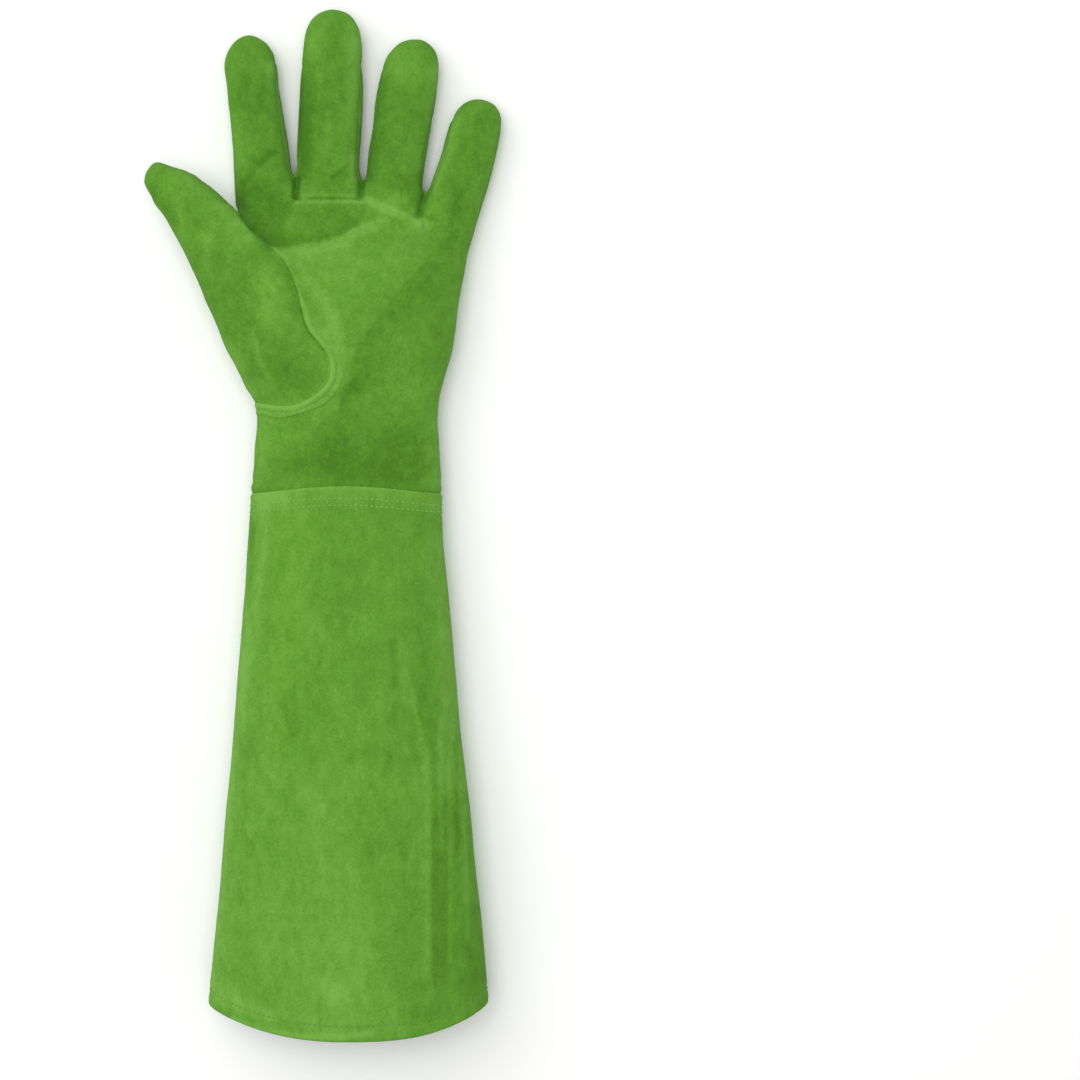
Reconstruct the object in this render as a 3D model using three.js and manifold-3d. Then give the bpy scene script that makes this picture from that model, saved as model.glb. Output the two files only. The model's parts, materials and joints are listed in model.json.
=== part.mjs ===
// Gauntlet pruning glove for the left hand, in split leather, lying on its back with the palm up.
// Millimetres. X runs across the palm, with the thumb at -X, Y towards the fingertips and Z up.

import * as THREE from "three";
import { LoftGeometry } from "three/addons/geometries/LoftGeometry.js";
import { mergeVertices } from "three/addons/utils/BufferGeometryUtils.js";
import Module from "manifold-3d";

const wasm = await Module();
wasm.setup();

// Leather
const LEATHER = 1.6;
const HEM = { leather: 3.3, depth: 9, step: 0.8 };
const SEAM_GAP = 0.3;
const WELT = { thickness: 1.2, setback: 0.6, above: 20 };

// How round a section is: 2 is an ellipse, and more is boxier
const ROUNDNESS = 2.35;

// Heights of the seams above the surface
const SIDE_SEAM = 12;
const THUMB_SEAM = 5.5;
const ABOVE_ALL = 70;

// The cuff's edges: how far the middle of each edge stands out past its sides, and where that starts
const HEM_SAG = { depth: 14, start: -110 };
const LAP_CROWN = { height: 3, start: -20 };

// The row of knuckles: its round edge, and how it falls away towards the little finger
const KNUCKLES = { round: 11, narrowing: 0.06, bendStart: 20, bendReach: 50 };

// How the forms are faceted, and how far their round sections are pressed flat where they rest
const HAND_SHAPE = { sides: 30, spacing: 12, pressed: 3.5, bend: knuckleFall, folded: true };
const FINGER_SHAPE = { sides: 14, spacing: 13, pressed: 1.4, bend: noBend, folded: false };
const THUMB_SHAPE = { sides: 18, spacing: 13, pressed: 0, bend: noBend, folded: false };
const CUFF_SHAPE = { sides: 30, spacing: 24, pressed: 5, bend: cuffBend, folded: true };
const ROUND_END_DEGREES = [24, 46, 66, 83];

// How far an inner form runs out past an open end, to open it
const OVERRUN = 6;

// Sections of the hand from the wrist to the knuckles: sides, underside, top and the knuckles' fall.
// The wrist lies inside the cuff up to y 16, and the elastic draws the underside up round y 66.
const HAND = [
  { y: 2, left: -31.6, right: 53.3, low: 2.1, high: 36.8, fall: 0 },
  { y: 15, left: -31.4, right: 53.0, low: 2.1, high: 36.4, fall: 0 },
  { y: 27, left: -32.6, right: 54.5, low: 2.2, high: 36.0, fall: 0 },
  { y: 40, left: -31.7, right: 53.5, low: 2.8, high: 35.2, fall: 0 },
  { y: 54, left: -30.5, right: 53.1, low: 3.4, high: 34.8, fall: 0 },
  { y: 68, left: -35.5, right: 56.4, low: 3.4, high: 35.4, fall: 0 },
  { y: 82, left: -38.6, right: 60.0, low: 1.2, high: 36.2, fall: 0 },
  { y: 105, left: -40.5, right: 63.3, low: 0, high: 36.4, fall: 2 },
  { y: 128, left: -41.6, right: 66.4, low: 0, high: 32.5, fall: 9 },
  { y: 142, left: -41.4, right: 67.4, low: 0, high: 28.2, fall: 16 },
  { y: 150, left: -40.8, right: 67.6, low: 0.4, high: 25.0, fall: 20 },
];

// Each finger from inside the palm to where its tip starts to round, and the length of that round
const FINGERS = {
  index: {
    round: 17,
    rows: [
      { y: 126, left: -38.5, right: -12.5, low: 2.4, high: 26.0 },
      { y: 150, left: -40.4, right: -14.0, low: 1.4, high: 24.2 },
      { y: 161, left: -41.2, right: -14.6, low: 0.8, high: 23.0 },
      { y: 180, left: -42.4, right: -16.8, low: 0.2, high: 21.6 },
      { y: 198, left: -44.6, right: -19.6, low: 0.6, high: 21.2 },
      { y: 212, left: -45.3, right: -21.9, low: 1.8, high: 21.4 },
    ],
  },
  middle: {
    round: 15.5,
    rows: [
      { y: 126, left: -9.5, right: 17.0, low: 2.4, high: 26.5 },
      { y: 150, left: -11.2, right: 17.0, low: 1.4, high: 24.8 },
      { y: 165, left: -11.7, right: 16.8, low: 0.4, high: 23.4 },
      { y: 189, left: -11.2, right: 17.7, low: 0, high: 22.2 },
      { y: 207, left: -10.2, right: 18.2, low: 0.8, high: 22.0 },
      { y: 226, left: -9.0, right: 17.8, low: 3.2, high: 23.0 },
    ],
  },
  ring: {
    round: 15.5,
    rows: [
      { y: 120, left: 15.5, right: 41.0, low: 2.4, high: 26.5 },
      { y: 150, left: 18.8, right: 45.6, low: 1.4, high: 24.4 },
      { y: 165, left: 20.1, right: 47.2, low: 0.4, high: 23.0 },
      { y: 180, left: 22.8, right: 49.4, low: 0, high: 21.8 },
      { y: 198, left: 25.1, right: 52.5, low: 1.0, high: 21.6 },
      { y: 210, left: 27.4, right: 53.6, low: 2.4, high: 22.0 },
    ],
  },
  little: {
    round: 15.5,
    rows: [
      { y: 108, left: 37.0, right: 62.0, low: 2.6, high: 27.0 },
      { y: 138, left: 43.0, right: 70.6, low: 1.2, high: 23.6 },
      { y: 152, left: 47.2, right: 74.2, low: 0.4, high: 21.8 },
      { y: 165, left: 53.0, right: 78.6, low: 0.2, high: 20.6 },
      { y: 175, left: 56.0, right: 81.0, low: 0.8, high: 20.2 },
      { y: 184.5, left: 58.8, right: 82.4, low: 2.0, high: 20.2 },
    ],
  },
};

// The thumb in its own frame: y runs from the tip's round back into the palm, along the thumb
const THUMB = {
  tip: { x: -65.9, y: 153.8 },
  turn: THREE.MathUtils.degToRad(38),
  round: 14.5,
  rows: [
    { y: -106, left: -13, right: 13, low: 12, high: 34 },
    { y: -84, left: -28.5, right: 26.0, low: 7.5, high: 38.6 },
    { y: -62, left: -24.6, right: 23.8, low: 7.5, high: 39.8 },
    { y: -47, left: -20.8, right: 20.0, low: 8.8, high: 39.0 },
    { y: -32, left: -17.0, right: 17.4, low: 11.2, high: 38.0 },
    { y: -14.5, left: -14.0, right: 14.4, low: 14.4, high: 37.8 },
    { y: 0, left: -11.8, right: 12.2, low: 16.8, high: 38.2 },
  ],
};

// Sections of the cuff from its lapped edge to its hem
const CUFF = [
  { y: 15, left: -33.6, right: 55.3, low: 0, high: 38.9 },
  { y: -7, left: -34.9, right: 56.4, low: 0, high: 40.2 },
  { y: -35, left: -36.8, right: 58.7, low: 0, high: 42.2 },
  { y: -81, left: -40.0, right: 62.9, low: 0, high: 45.4 },
  { y: -128, left: -44.2, right: 68.0, low: 0, high: 48.0 },
  { y: -174, left: -48.4, right: 72.6, low: 0, high: 50.0 },
  { y: -213, left: -52.2, right: 75.8, low: 0, high: 51.2 },
  { y: -222, left: -53.1, right: 76.4, low: 0, high: 51.4 },
];

// Soft folds of the top leather: a ridge is raised and a crease is sunk, along a line in plan
const FOLDS = [
  { name: "palm crease", x0: -21, y0: 128, x1: 36, y1: 142, width: 5, height: -1.8 },
  { name: "heel crease", x0: 12, y0: 60, x1: 54, y1: 72, width: 6, height: -1.4 },
  { name: "wrist gather", x0: -26, y0: 40, x1: 48, y1: 37, width: 5, height: -1.2 },
  { name: "cuff ridge, upper", x0: 34, y0: -50, x1: 51, y1: -110, width: 7, height: 1.6 },
  { name: "cuff ridge, lower", x0: 51, y0: -110, x1: 52, y1: -215, width: 7, height: 1.6 },
];

// Seam lines in plan
const THUMB_SEAM_LINE = [
  [-23.0, 128.6],
  [-16.1, 120.7],
  [-10.2, 107.0],
  [-6.3, 91.3],
  [2.0, 80.5],
  [4.5, 72.7],
  [2.5, 64.9],
  [-6.3, 58.0],
  [-16.1, 55.1],
  [-30.4, 57.0],
];
const WELT_EDGE_LINE = [
  [-17.5, 129.6],
  [-6.3, 123.7],
  [3.5, 111.9],
  [10.3, 101.1],
  [14.2, 86.4],
  [13.3, 73.7],
  [9.4, 63.9],
  [2.5, 56.0],
  [-6.3, 52.1],
  [-19.1, 49.2],
  [-27.9, 51.1],
];
const CROSS_SEAM_LINE = [
  [-13.6, 176],
  [-13.0, 160],
  [-11.0, 151.6],
  [19.1, 151.6],
  [41.4, 143.6],
  [47.2, 145.0],
  [48.4, 158],
  [52.3, 176],
];
const BACK_SEAM_LINE = [
  [-14.0, 172],
  [-17.0, 165.4],
  [-24.0, 162.0],
  [-29.0, 155.3],
  [-34.0, 144.6],
  [-37.2, 130.0],
  [-37.5, 116.6],
  [-36.3, 106.4],
  [-34.0, 94.3],
  [-31.4, 81.7],
  [-28.4, 70.0],
  [-27.6, 60.0],
  [-33.0, 49.0],
  [-45.0, 44.0],
];

// The strips between two fingers: where each starts below the crotch, and its height at the crotch
const FOURCHETTES = [
  { name: "fourchette_index_middle", pair: ["index", "middle"], start: 150, crotch: 162 },
  { name: "fourchette_middle_ring", pair: ["middle", "ring"], start: 150, crotch: 162 },
  { name: "fourchette_ring_little", pair: ["ring", "little"], start: 141, crotch: 154 },
];
const FOURCHETTE = { height: 11, tipHeight: 0.8, taper: 20, pastRows: 6, shares: [0, 0.05, 0.2, 0.7, 1] };

// Where the regions of the panels run, well outside the leather
const THUMB_OUTSIDE = [
  [-60, 57],
  [-110, 110],
  [-110, 190],
  [-52, 176],
];
const FINGERS_OUTSIDE = [
  [58, 200],
  [62, 262],
  [-16, 262],
  [-15, 200],
];
const BACK_OUTSIDE = [
  [-60, 40],
  [-60, -20],
  [110, -20],
  [110, 262],
  [-14, 262],
];
const BELOW_ALL = -5;

// A closed geometry as a solid with its faces outwards, without the flat triangles at a loft's ends
function solidFrom(geometry) {
  const bare = new THREE.BufferGeometry();
  bare.setAttribute("position", geometry.getAttribute("position"));
  bare.setIndex(geometry.index);
  const merged = mergeVertices(bare, 1e-4);
  const vertProperties = merged.attributes.position.array;
  const corners = merged.index.array;
  const kept = [];
  for (let i = 0; i < corners.length; i += 3) {
    const [a, b, c] = corners.slice(i, i + 3);
    if (a !== b && b !== c && c !== a) kept.push(a, b, c);
  }
  const triVerts = new Uint32Array(kept);
  const made = new wasm.Manifold(new wasm.Mesh({ numProp: 3, vertProperties, triVerts }));
  if (made.volume() > 0) return made;
  triVerts.reverse();
  return new wasm.Manifold(new wasm.Mesh({ numProp: 3, vertProperties, triVerts }));
}

function geometryFrom(solid) {
  const { vertProperties, triVerts } = solid.getMesh();
  const geometry = new THREE.BufferGeometry();
  geometry.setAttribute("position", new THREE.BufferAttribute(new Float32Array(vertProperties), 3));
  geometry.setIndex(new THREE.BufferAttribute(new Uint32Array(triVerts), 1));
  geometry.computeVertexNormals();
  return geometry;
}

// The biggest body of a cut, without the crumbs that a cut can leave at a corner
function mainBody(solid) {
  return solid.decompose().sort((a, b) => b.volume() - a.volume())[0];
}

// A smooth run of sections between the rows of a table, about one every given step along y
function smoothRows(rows, step) {
  const columns = Object.keys(rows[0]).filter((column) => column !== "y");
  const forward = Math.sign(rows.at(-1).y - rows[0].y);
  const places = rows.map((row) => forward * row.y);
  const values = rows.flatMap((row) => columns.map((column) => row[column]));
  const curve = new THREE.CubicInterpolant(places, values, columns.length);
  const first = places[0];
  const length = places.at(-1) - first;
  const count = Math.ceil(length / step);
  const smooth = [];
  for (let i = 0; i <= count; i++) {
    const place = first + (length * i) / count;
    const found = curve.evaluate(place);
    const row = { y: forward * place };
    columns.forEach((column, c) => {
      row[column] = column === "low" ? Math.max(0, found[c]) : found[c];
    });
    smooth.push(row);
  }
  return smooth;
}

// The rows that close a fingertip, or the row of knuckles, in a quarter round
function roundedEnd(last, length, narrowing) {
  const middle = (last.left + last.right) / 2;
  const centre = (last.low + last.high) / 2;
  return ROUND_END_DEGREES.map((degrees) => {
    const angle = THREE.MathUtils.degToRad(degrees);
    const size = Math.cos(angle);
    const width = 1 - narrowing * (1 - size);
    return {
      ...last,
      y: last.y + length * Math.sin(angle),
      left: middle + (last.left - middle) * width,
      right: middle + (last.right - middle) * width,
      low: centre + (last.low - centre) * size,
      high: centre + (last.high - centre) * size,
    };
  });
}

function distanceToFold(x, y, fold) {
  const from = new THREE.Vector2(fold.x0, fold.y0);
  const along = new THREE.Vector2(fold.x1, fold.y1).sub(from);
  const point = new THREE.Vector2(x, y).sub(from);
  const share = THREE.MathUtils.clamp(point.dot(along) / along.lengthSq(), 0, 1);
  return point.sub(along.multiplyScalar(share)).length();
}

function foldHeight(x, y) {
  let height = 0;
  for (const fold of FOLDS) {
    const away = distanceToFold(x, y, fold) / fold.width;
    height += fold.height * Math.exp(-(away ** 2));
  }
  return height;
}

// The ring of points round one section, drawn in by the inset, or let out where it is negative
function ring(row, shape, inset) {
  const middle = (row.left + row.right) / 2;
  const half = Math.max((row.right - row.left) / 2 - inset, 0.2);
  const low = row.low + inset;
  const high = Math.max(row.high - inset, low + 0.4);
  const centre = (low - shape.pressed + high) / 2;
  const rise = (high - low + shape.pressed) / 2;
  const bulge = (value) => Math.sign(value) * Math.abs(value) ** (2 / ROUNDNESS);
  const points = [];
  for (let i = 0; i < shape.sides; i++) {
    const angle = (2 * Math.PI * i) / shape.sides;
    const x = middle + half * bulge(Math.cos(angle));
    const y = row.y + shape.bend(x, row, (x - middle) / half);
    const upward = Math.max(0, Math.sin(angle));
    const fold = shape.folded ? foldHeight(x, y) * upward : 0;
    const round = centre + rise * bulge(Math.sin(angle));
    points.push(new THREE.Vector3(x, y, Math.max(round, low) + fold));
  }
  return points;
}

// A skin through rings of points, which closes at the middle of its first and last ring
function loft(rings) {
  const closing = (points) => {
    const middle = new THREE.Vector3();
    points.forEach((point) => middle.addScaledVector(point, 1 / points.length));
    return points.map(() => middle);
  };
  return new LoftGeometry([closing(rings[0]), ...rings, closing(rings.at(-1))]);
}

function loftRows(rows, shape, inset) {
  return loft(rows.map((row) => ring(row, shape, inset)));
}

function noBend() {
  return 0;
}

function knuckleFall(x, row) {
  const past = Math.max(0, x - KNUCKLES.bendStart) / KNUCKLES.bendReach;
  return -row.fall * past * past;
}

// The hem sags in its middle, and the lapped edge is slightly crowned
function cuffBend(x, row, across) {
  const middle = 1 - Math.min(1, across * across);
  const down = THREE.MathUtils.smoothstep(-row.y, -HEM_SAG.start, -CUFF.at(-1).y);
  const up = THREE.MathUtils.smoothstep(row.y, LAP_CROWN.start, CUFF[0].y);
  return middle * (LAP_CROWN.height * up - HEM_SAG.depth * down);
}

function handLoft(inset) {
  const rows = smoothRows(HAND, HAND_SHAPE.spacing);
  const end = roundedEnd(rows.at(-1), KNUCKLES.round - inset, KNUCKLES.narrowing);
  const start = inset > 0 ? [{ ...rows[0], y: rows[0].y - OVERRUN }] : [];
  return solidFrom(loftRows([...start, ...rows, ...end], HAND_SHAPE, inset));
}

function fingerLoft(finger, shape, inset) {
  const rows = smoothRows(finger.rows, shape.spacing);
  const end = roundedEnd(rows.at(-1), finger.round - inset, 1);
  return loftRows([...rows, ...end], shape, inset);
}

function thumbLoft(inset) {
  const geometry = fingerLoft(THUMB, THUMB_SHAPE, inset);
  geometry.rotateZ(THUMB.turn);
  geometry.translate(THUMB.tip.x, THUMB.tip.y, 0);
  return solidFrom(geometry);
}

// The whole hand as one filled form, drawn in by the inset
function handForm(inset) {
  let form = handLoft(inset).add(thumbLoft(inset));
  for (const finger of Object.values(FINGERS)) {
    form = form.add(solidFrom(fingerLoft(finger, FINGER_SHAPE, inset)));
  }
  return form;
}

// The cuff's leather, twice as thick where its hem is folded in
function cuffSolid() {
  const rows = smoothRows(CUFF, CUFF_SHAPE.spacing);
  const [first, last] = [rows[0], rows.at(-1)];
  const foldRow = smoothRows(CUFF, 1).find((row) => row.y <= last.y + HEM.depth);
  const single = [
    { ...first, y: first.y + OVERRUN },
    ...rows.filter((row) => row.y > foldRow.y + HEM.step),
    { ...foldRow, y: foldRow.y + HEM.step },
  ];
  const double = [foldRow, last, { ...last, y: last.y - HEM_SAG.depth }];
  const inner = loft([
    ...single.map((row) => ring(row, CUFF_SHAPE, LEATHER)),
    ...double.map((row) => ring(row, CUFF_SHAPE, HEM.leather)),
  ]);
  return solidFrom(loftRows(rows, CUFF_SHAPE, 0)).subtract(solidFrom(inner));
}

function smoothLine(points, count) {
  const controls = points.map(([x, y]) => new THREE.Vector3(x, y, 0));
  const curve = new THREE.CatmullRomCurve3(controls, false, "centripetal");
  return curve.getPoints(count).map((point) => [point.x, point.y]);
}

// A thin upright wall along a line in plan, which cuts a seam's gap through the leather
function seamCut(line, low, high) {
  const sections = line.map(([x, y], i) => {
    const before = line[Math.max(i - 1, 0)];
    const after = line[Math.min(i + 1, line.length - 1)];
    const side = new THREE.Vector2(before[1] - after[1], after[0] - before[0]).setLength(SEAM_GAP / 2);
    return [
      new THREE.Vector3(x - side.x, y - side.y, low),
      new THREE.Vector3(x + side.x, y + side.y, low),
      new THREE.Vector3(x + side.x, y + side.y, high),
      new THREE.Vector3(x - side.x, y - side.y, high),
    ];
  });
  return solidFrom(loft(sections));
}

// A filled region in plan, between two heights
function region(outline, low, high) {
  const shape = new THREE.Shape(outline.map(([x, y]) => new THREE.Vector2(x, y)));
  const geometry = new THREE.ExtrudeGeometry(shape, { depth: high - low, bevelEnabled: false });
  geometry.translate(0, 0, low);
  return solidFrom(geometry);
}

// A level sheet that cuts the side seam's gap
function sideSeamCut({ left, right, near, far }) {
  const geometry = new THREE.BoxGeometry(right - left, far - near, SEAM_GAP);
  geometry.translate((left + right) / 2, (near + far) / 2, SIDE_SEAM);
  return solidFrom(geometry);
}

// Where a finger's middle runs at a place along it, up to where its tip starts to round
function fingerMiddle(name, y) {
  const rows = FINGERS[name].rows;
  const place = Math.min(y, rows.at(-1).y);
  const above = Math.max(1, rows.findIndex((row) => row.y >= place));
  const [from, to] = [rows[above - 1], rows[above]];
  const share = (place - from.y) / (to.y - from.y);
  return THREE.MathUtils.lerp(from.left + from.right, to.left + to.right, share) / 2;
}

// The lens-shaped region that a fourchette takes: pointed below the crotch and at the fingertips
function fourchetteRegion({ pair, start, crotch }, grow) {
  const end = Math.min(...pair.map((name) => FINGERS[name].rows.at(-1).y)) + FOURCHETTE.pastRows;
  const sections = FOURCHETTE.shares.map((share) => {
    const y = THREE.MathUtils.lerp(start - grow, end + grow, share);
    const opening = (y - start + grow) / (crotch - start);
    const closing = (end + grow - y) / FOURCHETTE.taper;
    const openShare = THREE.MathUtils.clamp(Math.min(opening, closing), 0, 1);
    const half = (FOURCHETTE.height * Math.sqrt(openShare) + FOURCHETTE.tipHeight) / 2 + grow;
    const [left, right] = pair.map((name) => fingerMiddle(name, Math.min(y, end)));
    return [
      new THREE.Vector3(left, y, SIDE_SEAM - half),
      new THREE.Vector3(right, y, SIDE_SEAM - half),
      new THREE.Vector3(right, y, SIDE_SEAM + half),
      new THREE.Vector3(left, y, SIDE_SEAM + half),
    ];
  });
  return solidFrom(loft(sections));
}

// The regions of the panels
const thumbLine = smoothLine(THUMB_SEAM_LINE, 13);
const crossLine = smoothLine(CROSS_SEAM_LINE, 14);
const backLine = smoothLine(BACK_SEAM_LINE, 20);
const thumbOutline = [...thumbLine, ...THUMB_OUTSIDE];
const thumbRegion = region(thumbOutline, THUMB_SEAM, ABOVE_ALL);
const fingersRegion = region([...crossLine, ...FINGERS_OUTSIDE], SIDE_SEAM, ABOVE_ALL);
const backRegion = region([...backLine, ...BACK_OUTSIDE], BELOW_ALL, SIDE_SEAM);
const fourchettes = FOURCHETTES.map((row) => ({ name: row.name, region: fourchetteRegion(row, 0) }));

// The gap along every seam. The side seam is level, and stops where the palm wraps round the index finger.
const grow = SEAM_GAP / 2;
const thumbCuts = [
  seamCut([...thumbLine, THUMB_OUTSIDE[0]], THUMB_SEAM, ABOVE_ALL),
  seamCut([thumbLine[0], THUMB_OUTSIDE.at(-1)], THUMB_SEAM, ABOVE_ALL),
  region(thumbOutline, THUMB_SEAM - grow, THUMB_SEAM + grow),
];
const fourchetteCuts = FOURCHETTES.map((row) =>
  fourchetteRegion(row, grow).subtract(fourchetteRegion(row, -grow)),
);
const wristSide = { left: -70, right: 110, near: -20, far: 46 };
const handSide = { left: -14, right: 110, near: 45, far: 262 };
const sideCuts = [wristSide, handSide].map((side) =>
  fourchettes.reduce((cut, row) => cut.subtract(row.region), sideSeamCut(side)),
);
const lineCuts = [
  seamCut(backLine, BELOW_ALL, SIDE_SEAM + grow),
  seamCut(crossLine, SIDE_SEAM - grow, ABOVE_ALL),
];

// The hollow leather of the hand, cut into its panels
const skin = handForm(0).subtract(handForm(LEATHER));
const cuts = [...thumbCuts, ...fourchetteCuts, ...sideCuts, ...lineCuts];
let rest = cuts.reduce((left, cut) => left.subtract(cut), skin);
const pieces = new Map();
function takePiece(name, where) {
  pieces.set(name, mainBody(rest.intersect(where)));
  rest = rest.subtract(where);
}
takePiece("thumb", thumbRegion);
fourchettes.forEach((row) => takePiece(row.name, row.region));
takePiece("middle_ring_front", fingersRegion);
takePiece("back_panel", backRegion);
pieces.set("palm_panel", mainBody(rest));

// The welt lies on the palm along the thumb's seam
const weltInside = thumbLine.map(([x, y]) => [x + WELT.setback, y]);
const weltOutside = smoothLine(WELT_EDGE_LINE, 14).reverse();
const weltSkin = handForm(-SEAM_GAP - WELT.thickness).subtract(handForm(-SEAM_GAP));
const weltRegion = region([...weltInside, ...weltOutside], WELT.above, ABOVE_ALL);
pieces.set("thumb_welt", mainBody(weltSkin.intersect(weltRegion)));

pieces.set("cuff", cuffSolid());

// Suede leather, with each panel's own tone
const TONES = {
  palm_panel: 0x5f9732,
  middle_ring_front: 0x5c932f,
  back_panel: 0x609932,
  fourchette_index_middle: 0x568c2b,
  fourchette_middle_ring: 0x568c2b,
  fourchette_ring_little: 0x568c2b,
  thumb: 0x629a34,
  thumb_welt: 0x6ea143,
  cuff: 0x649d36,
};

const glove = new THREE.Group();
for (const [name, solid] of pieces) {
  const material = new THREE.MeshStandardMaterial({ color: TONES[name], roughness: 0.95, metalness: 0 });
  const mesh = new THREE.Mesh(geometryFrom(solid), material);
  mesh.name = name;
  glove.add(mesh);
}

// The origin lies on the surface, under the middle of the glove
const middleOfAll = new THREE.Box3().setFromObject(glove).getCenter(new THREE.Vector3());
glove.position.set(-middleOfAll.x, -middleOfAll.y, 0);

export default glove;
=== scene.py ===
"""Gauntlet pruning glove in green split leather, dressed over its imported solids.

Metres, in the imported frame: the thumb is at -X, the fingertips at +Y and the palm faces +Z.
Tables are in millimetres, measured from the middle of the wrist, as the part's own tables are.
"""

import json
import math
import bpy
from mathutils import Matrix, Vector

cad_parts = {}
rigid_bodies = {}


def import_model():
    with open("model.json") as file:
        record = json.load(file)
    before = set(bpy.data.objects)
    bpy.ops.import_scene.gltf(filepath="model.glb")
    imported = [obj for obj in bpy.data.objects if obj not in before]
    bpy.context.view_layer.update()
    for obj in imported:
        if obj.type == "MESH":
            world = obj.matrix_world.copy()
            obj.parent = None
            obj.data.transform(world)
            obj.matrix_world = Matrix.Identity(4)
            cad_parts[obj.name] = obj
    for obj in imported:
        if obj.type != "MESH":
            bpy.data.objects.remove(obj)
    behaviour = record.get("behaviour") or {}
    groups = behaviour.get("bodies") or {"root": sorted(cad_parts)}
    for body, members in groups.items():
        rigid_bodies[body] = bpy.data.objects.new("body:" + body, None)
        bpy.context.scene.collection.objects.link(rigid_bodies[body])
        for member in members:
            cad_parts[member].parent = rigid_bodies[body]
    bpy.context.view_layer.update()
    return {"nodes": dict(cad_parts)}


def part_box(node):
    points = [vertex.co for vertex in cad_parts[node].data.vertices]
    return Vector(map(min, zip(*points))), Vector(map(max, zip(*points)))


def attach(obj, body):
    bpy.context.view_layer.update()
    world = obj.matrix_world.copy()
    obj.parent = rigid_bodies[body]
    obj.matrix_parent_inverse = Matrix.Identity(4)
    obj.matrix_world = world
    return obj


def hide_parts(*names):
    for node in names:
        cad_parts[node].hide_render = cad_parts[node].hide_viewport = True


bl_info = {
    "name": "Pruning glove in split leather",
    "version": (1, 0, 0),
    "blender": (4, 5, 0),
    "location": "3D View > Sidebar > Glove",
    "description": "Sews a gauntlet pruning glove of split leather over its packed solids",
    "category": "Object",
}

import bmesh
import bpy
import numpy as np
from mathutils import Matrix, Vector, noise
from mathutils.bvhtree import BVHTree
from mathutils.kdtree import KDTree

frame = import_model()

MM = 0.001
# The tables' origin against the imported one, which lies under the middle of the whole glove
TABLE_SHIFT = np.array([-1.834, -2.842])
# Corners that lie nearer than this are one corner, in metres
SAME_PLACE = 1e-6

HAND_NODES = [
    "palm_panel",
    "middle_ring_front",
    "back_panel",
    "fourchette_index_middle",
    "fourchette_middle_ring",
    "fourchette_ring_little",
    "thumb",
]

# Heights of the side seams and of the thumb's lower seam
SIDE_SEAM = 12
THUMB_SEAM = 5.5

# The thumb's own edge over the base of the index finger, from its crotch down to the seam on the palm
THUMB_EDGE_LINE = [(-43, 153), (-40.5, 147), (-35.5, 139.5), (-30, 134), (-23.0, 128.6)]

THUMB_SEAM_LINE = [
    (-23.0, 128.6), (-16.1, 120.7), (-10.2, 107.0), (-6.3, 91.3), (2.0, 80.5), (4.5, 72.7),
    (2.5, 64.9), (-6.3, 58.0), (-16.1, 55.1), (-30.4, 57.0),
]
THUMB_OUTSIDE = [(-60, 57), (-110, 110), (-110, 190), (-60, 176), (-48, 163)]
# Where the welt runs round the side of the wrist
WELT_OUTSIDE = [(-42, 57), (-42, 51.2)]
WELT_LOWEST = 7
# How high the welt stands off the palm, and how far from its inner seam its roll and sewn channel run
WELT_HEIGHT = 0.6
WELT_ROLL = 1.2
WELT_CHANNEL = 2.8
# The welt's leather and thread, as shares of the other panels' leather and thread in thickness
WELT_LEATHER = 0.6
WELT_THREAD = 0.8
# Its stitch rows: how far from that seam, and the shares of its length where they start and end
WELT_STITCH_ROWS = [(2.7, 0.52, 0.97), (4.4, 0.66, 0.95)]
WELT_EDGE_LINE = [
    (-17.5, 129.6), (-6.3, 123.7), (3.5, 111.9), (10.3, 101.1), (14.2, 86.4), (13.3, 73.7),
    (9.4, 63.9), (2.5, 56.0), (-6.3, 52.1), (-19.1, 49.2), (-27.9, 51.1),
]
CROSS_SEAM_LINE = [
    (-13.6, 176), (-13.0, 160), (-11.0, 151.6), (19.1, 151.6), (41.4, 143.6), (47.2, 145.0),
    (48.4, 158), (52.3, 176),
]
FINGERS_OUTSIDE = [(58, 200), (62, 262), (-16, 262), (-15, 200)]
BACK_SEAM_LINE = [
    (-14.0, 172), (-17.0, 165.4), (-24.0, 162.0), (-29.0, 155.3), (-34.0, 144.6), (-37.2, 130.0),
    (-37.5, 116.6), (-36.3, 106.4), (-34.0, 94.3), (-31.4, 81.7), (-28.4, 70.0), (-27.6, 60.0),
    (-33.0, 49.0), (-45.0, 44.0),
]
BACK_OUTSIDE = [(-60, 40), (-60, -20), (110, -20), (110, 262), (-14, 262)]

# The fingers' middle lines in plan, from the root to the tip
INDEX_LINE = [(-25.5, 126), (-27.2, 150), (-29.6, 180), (-33.6, 212)]
MIDDLE_LINE = [(3.8, 126), (2.9, 150), (2.6, 165), (3.2, 189), (4.0, 207), (4.4, 226)]
RING_LINE = [(28.2, 120), (32.2, 150), (33.6, 165), (36.1, 180), (38.8, 198), (40.5, 210)]
LITTLE_LINE = [(49.5, 108), (56.8, 138), (60.7, 152), (65.8, 165), (68.5, 175), (70.6, 184.5)]

# The side strips between the fingers: the fingers on either side, where the strip starts and ends along the
# hand, and where the two fingers part
FOURCHETTES = {
    "fourchette_index_middle": dict(left=INDEX_LINE, right=MIDDLE_LINE, start=150, crotch=162, end=218),
    "fourchette_middle_ring": dict(left=MIDDLE_LINE, right=RING_LINE, start=150, crotch=162, end=216),
    "fourchette_ring_little": dict(left=RING_LINE, right=LITTLE_LINE, start=141, crotch=154, end=190.5),
}
# The strips' height in the middle of their length and at their ends, their middle above the floor, and the
# length over which they taper to the tip
FOURCHETTE_HEIGHT = 9
FOURCHETTE_TIP_HEIGHT = 0.8
FOURCHETTE_MIDDLE = 10.5
FOURCHETTE_TAPER = 20

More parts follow.
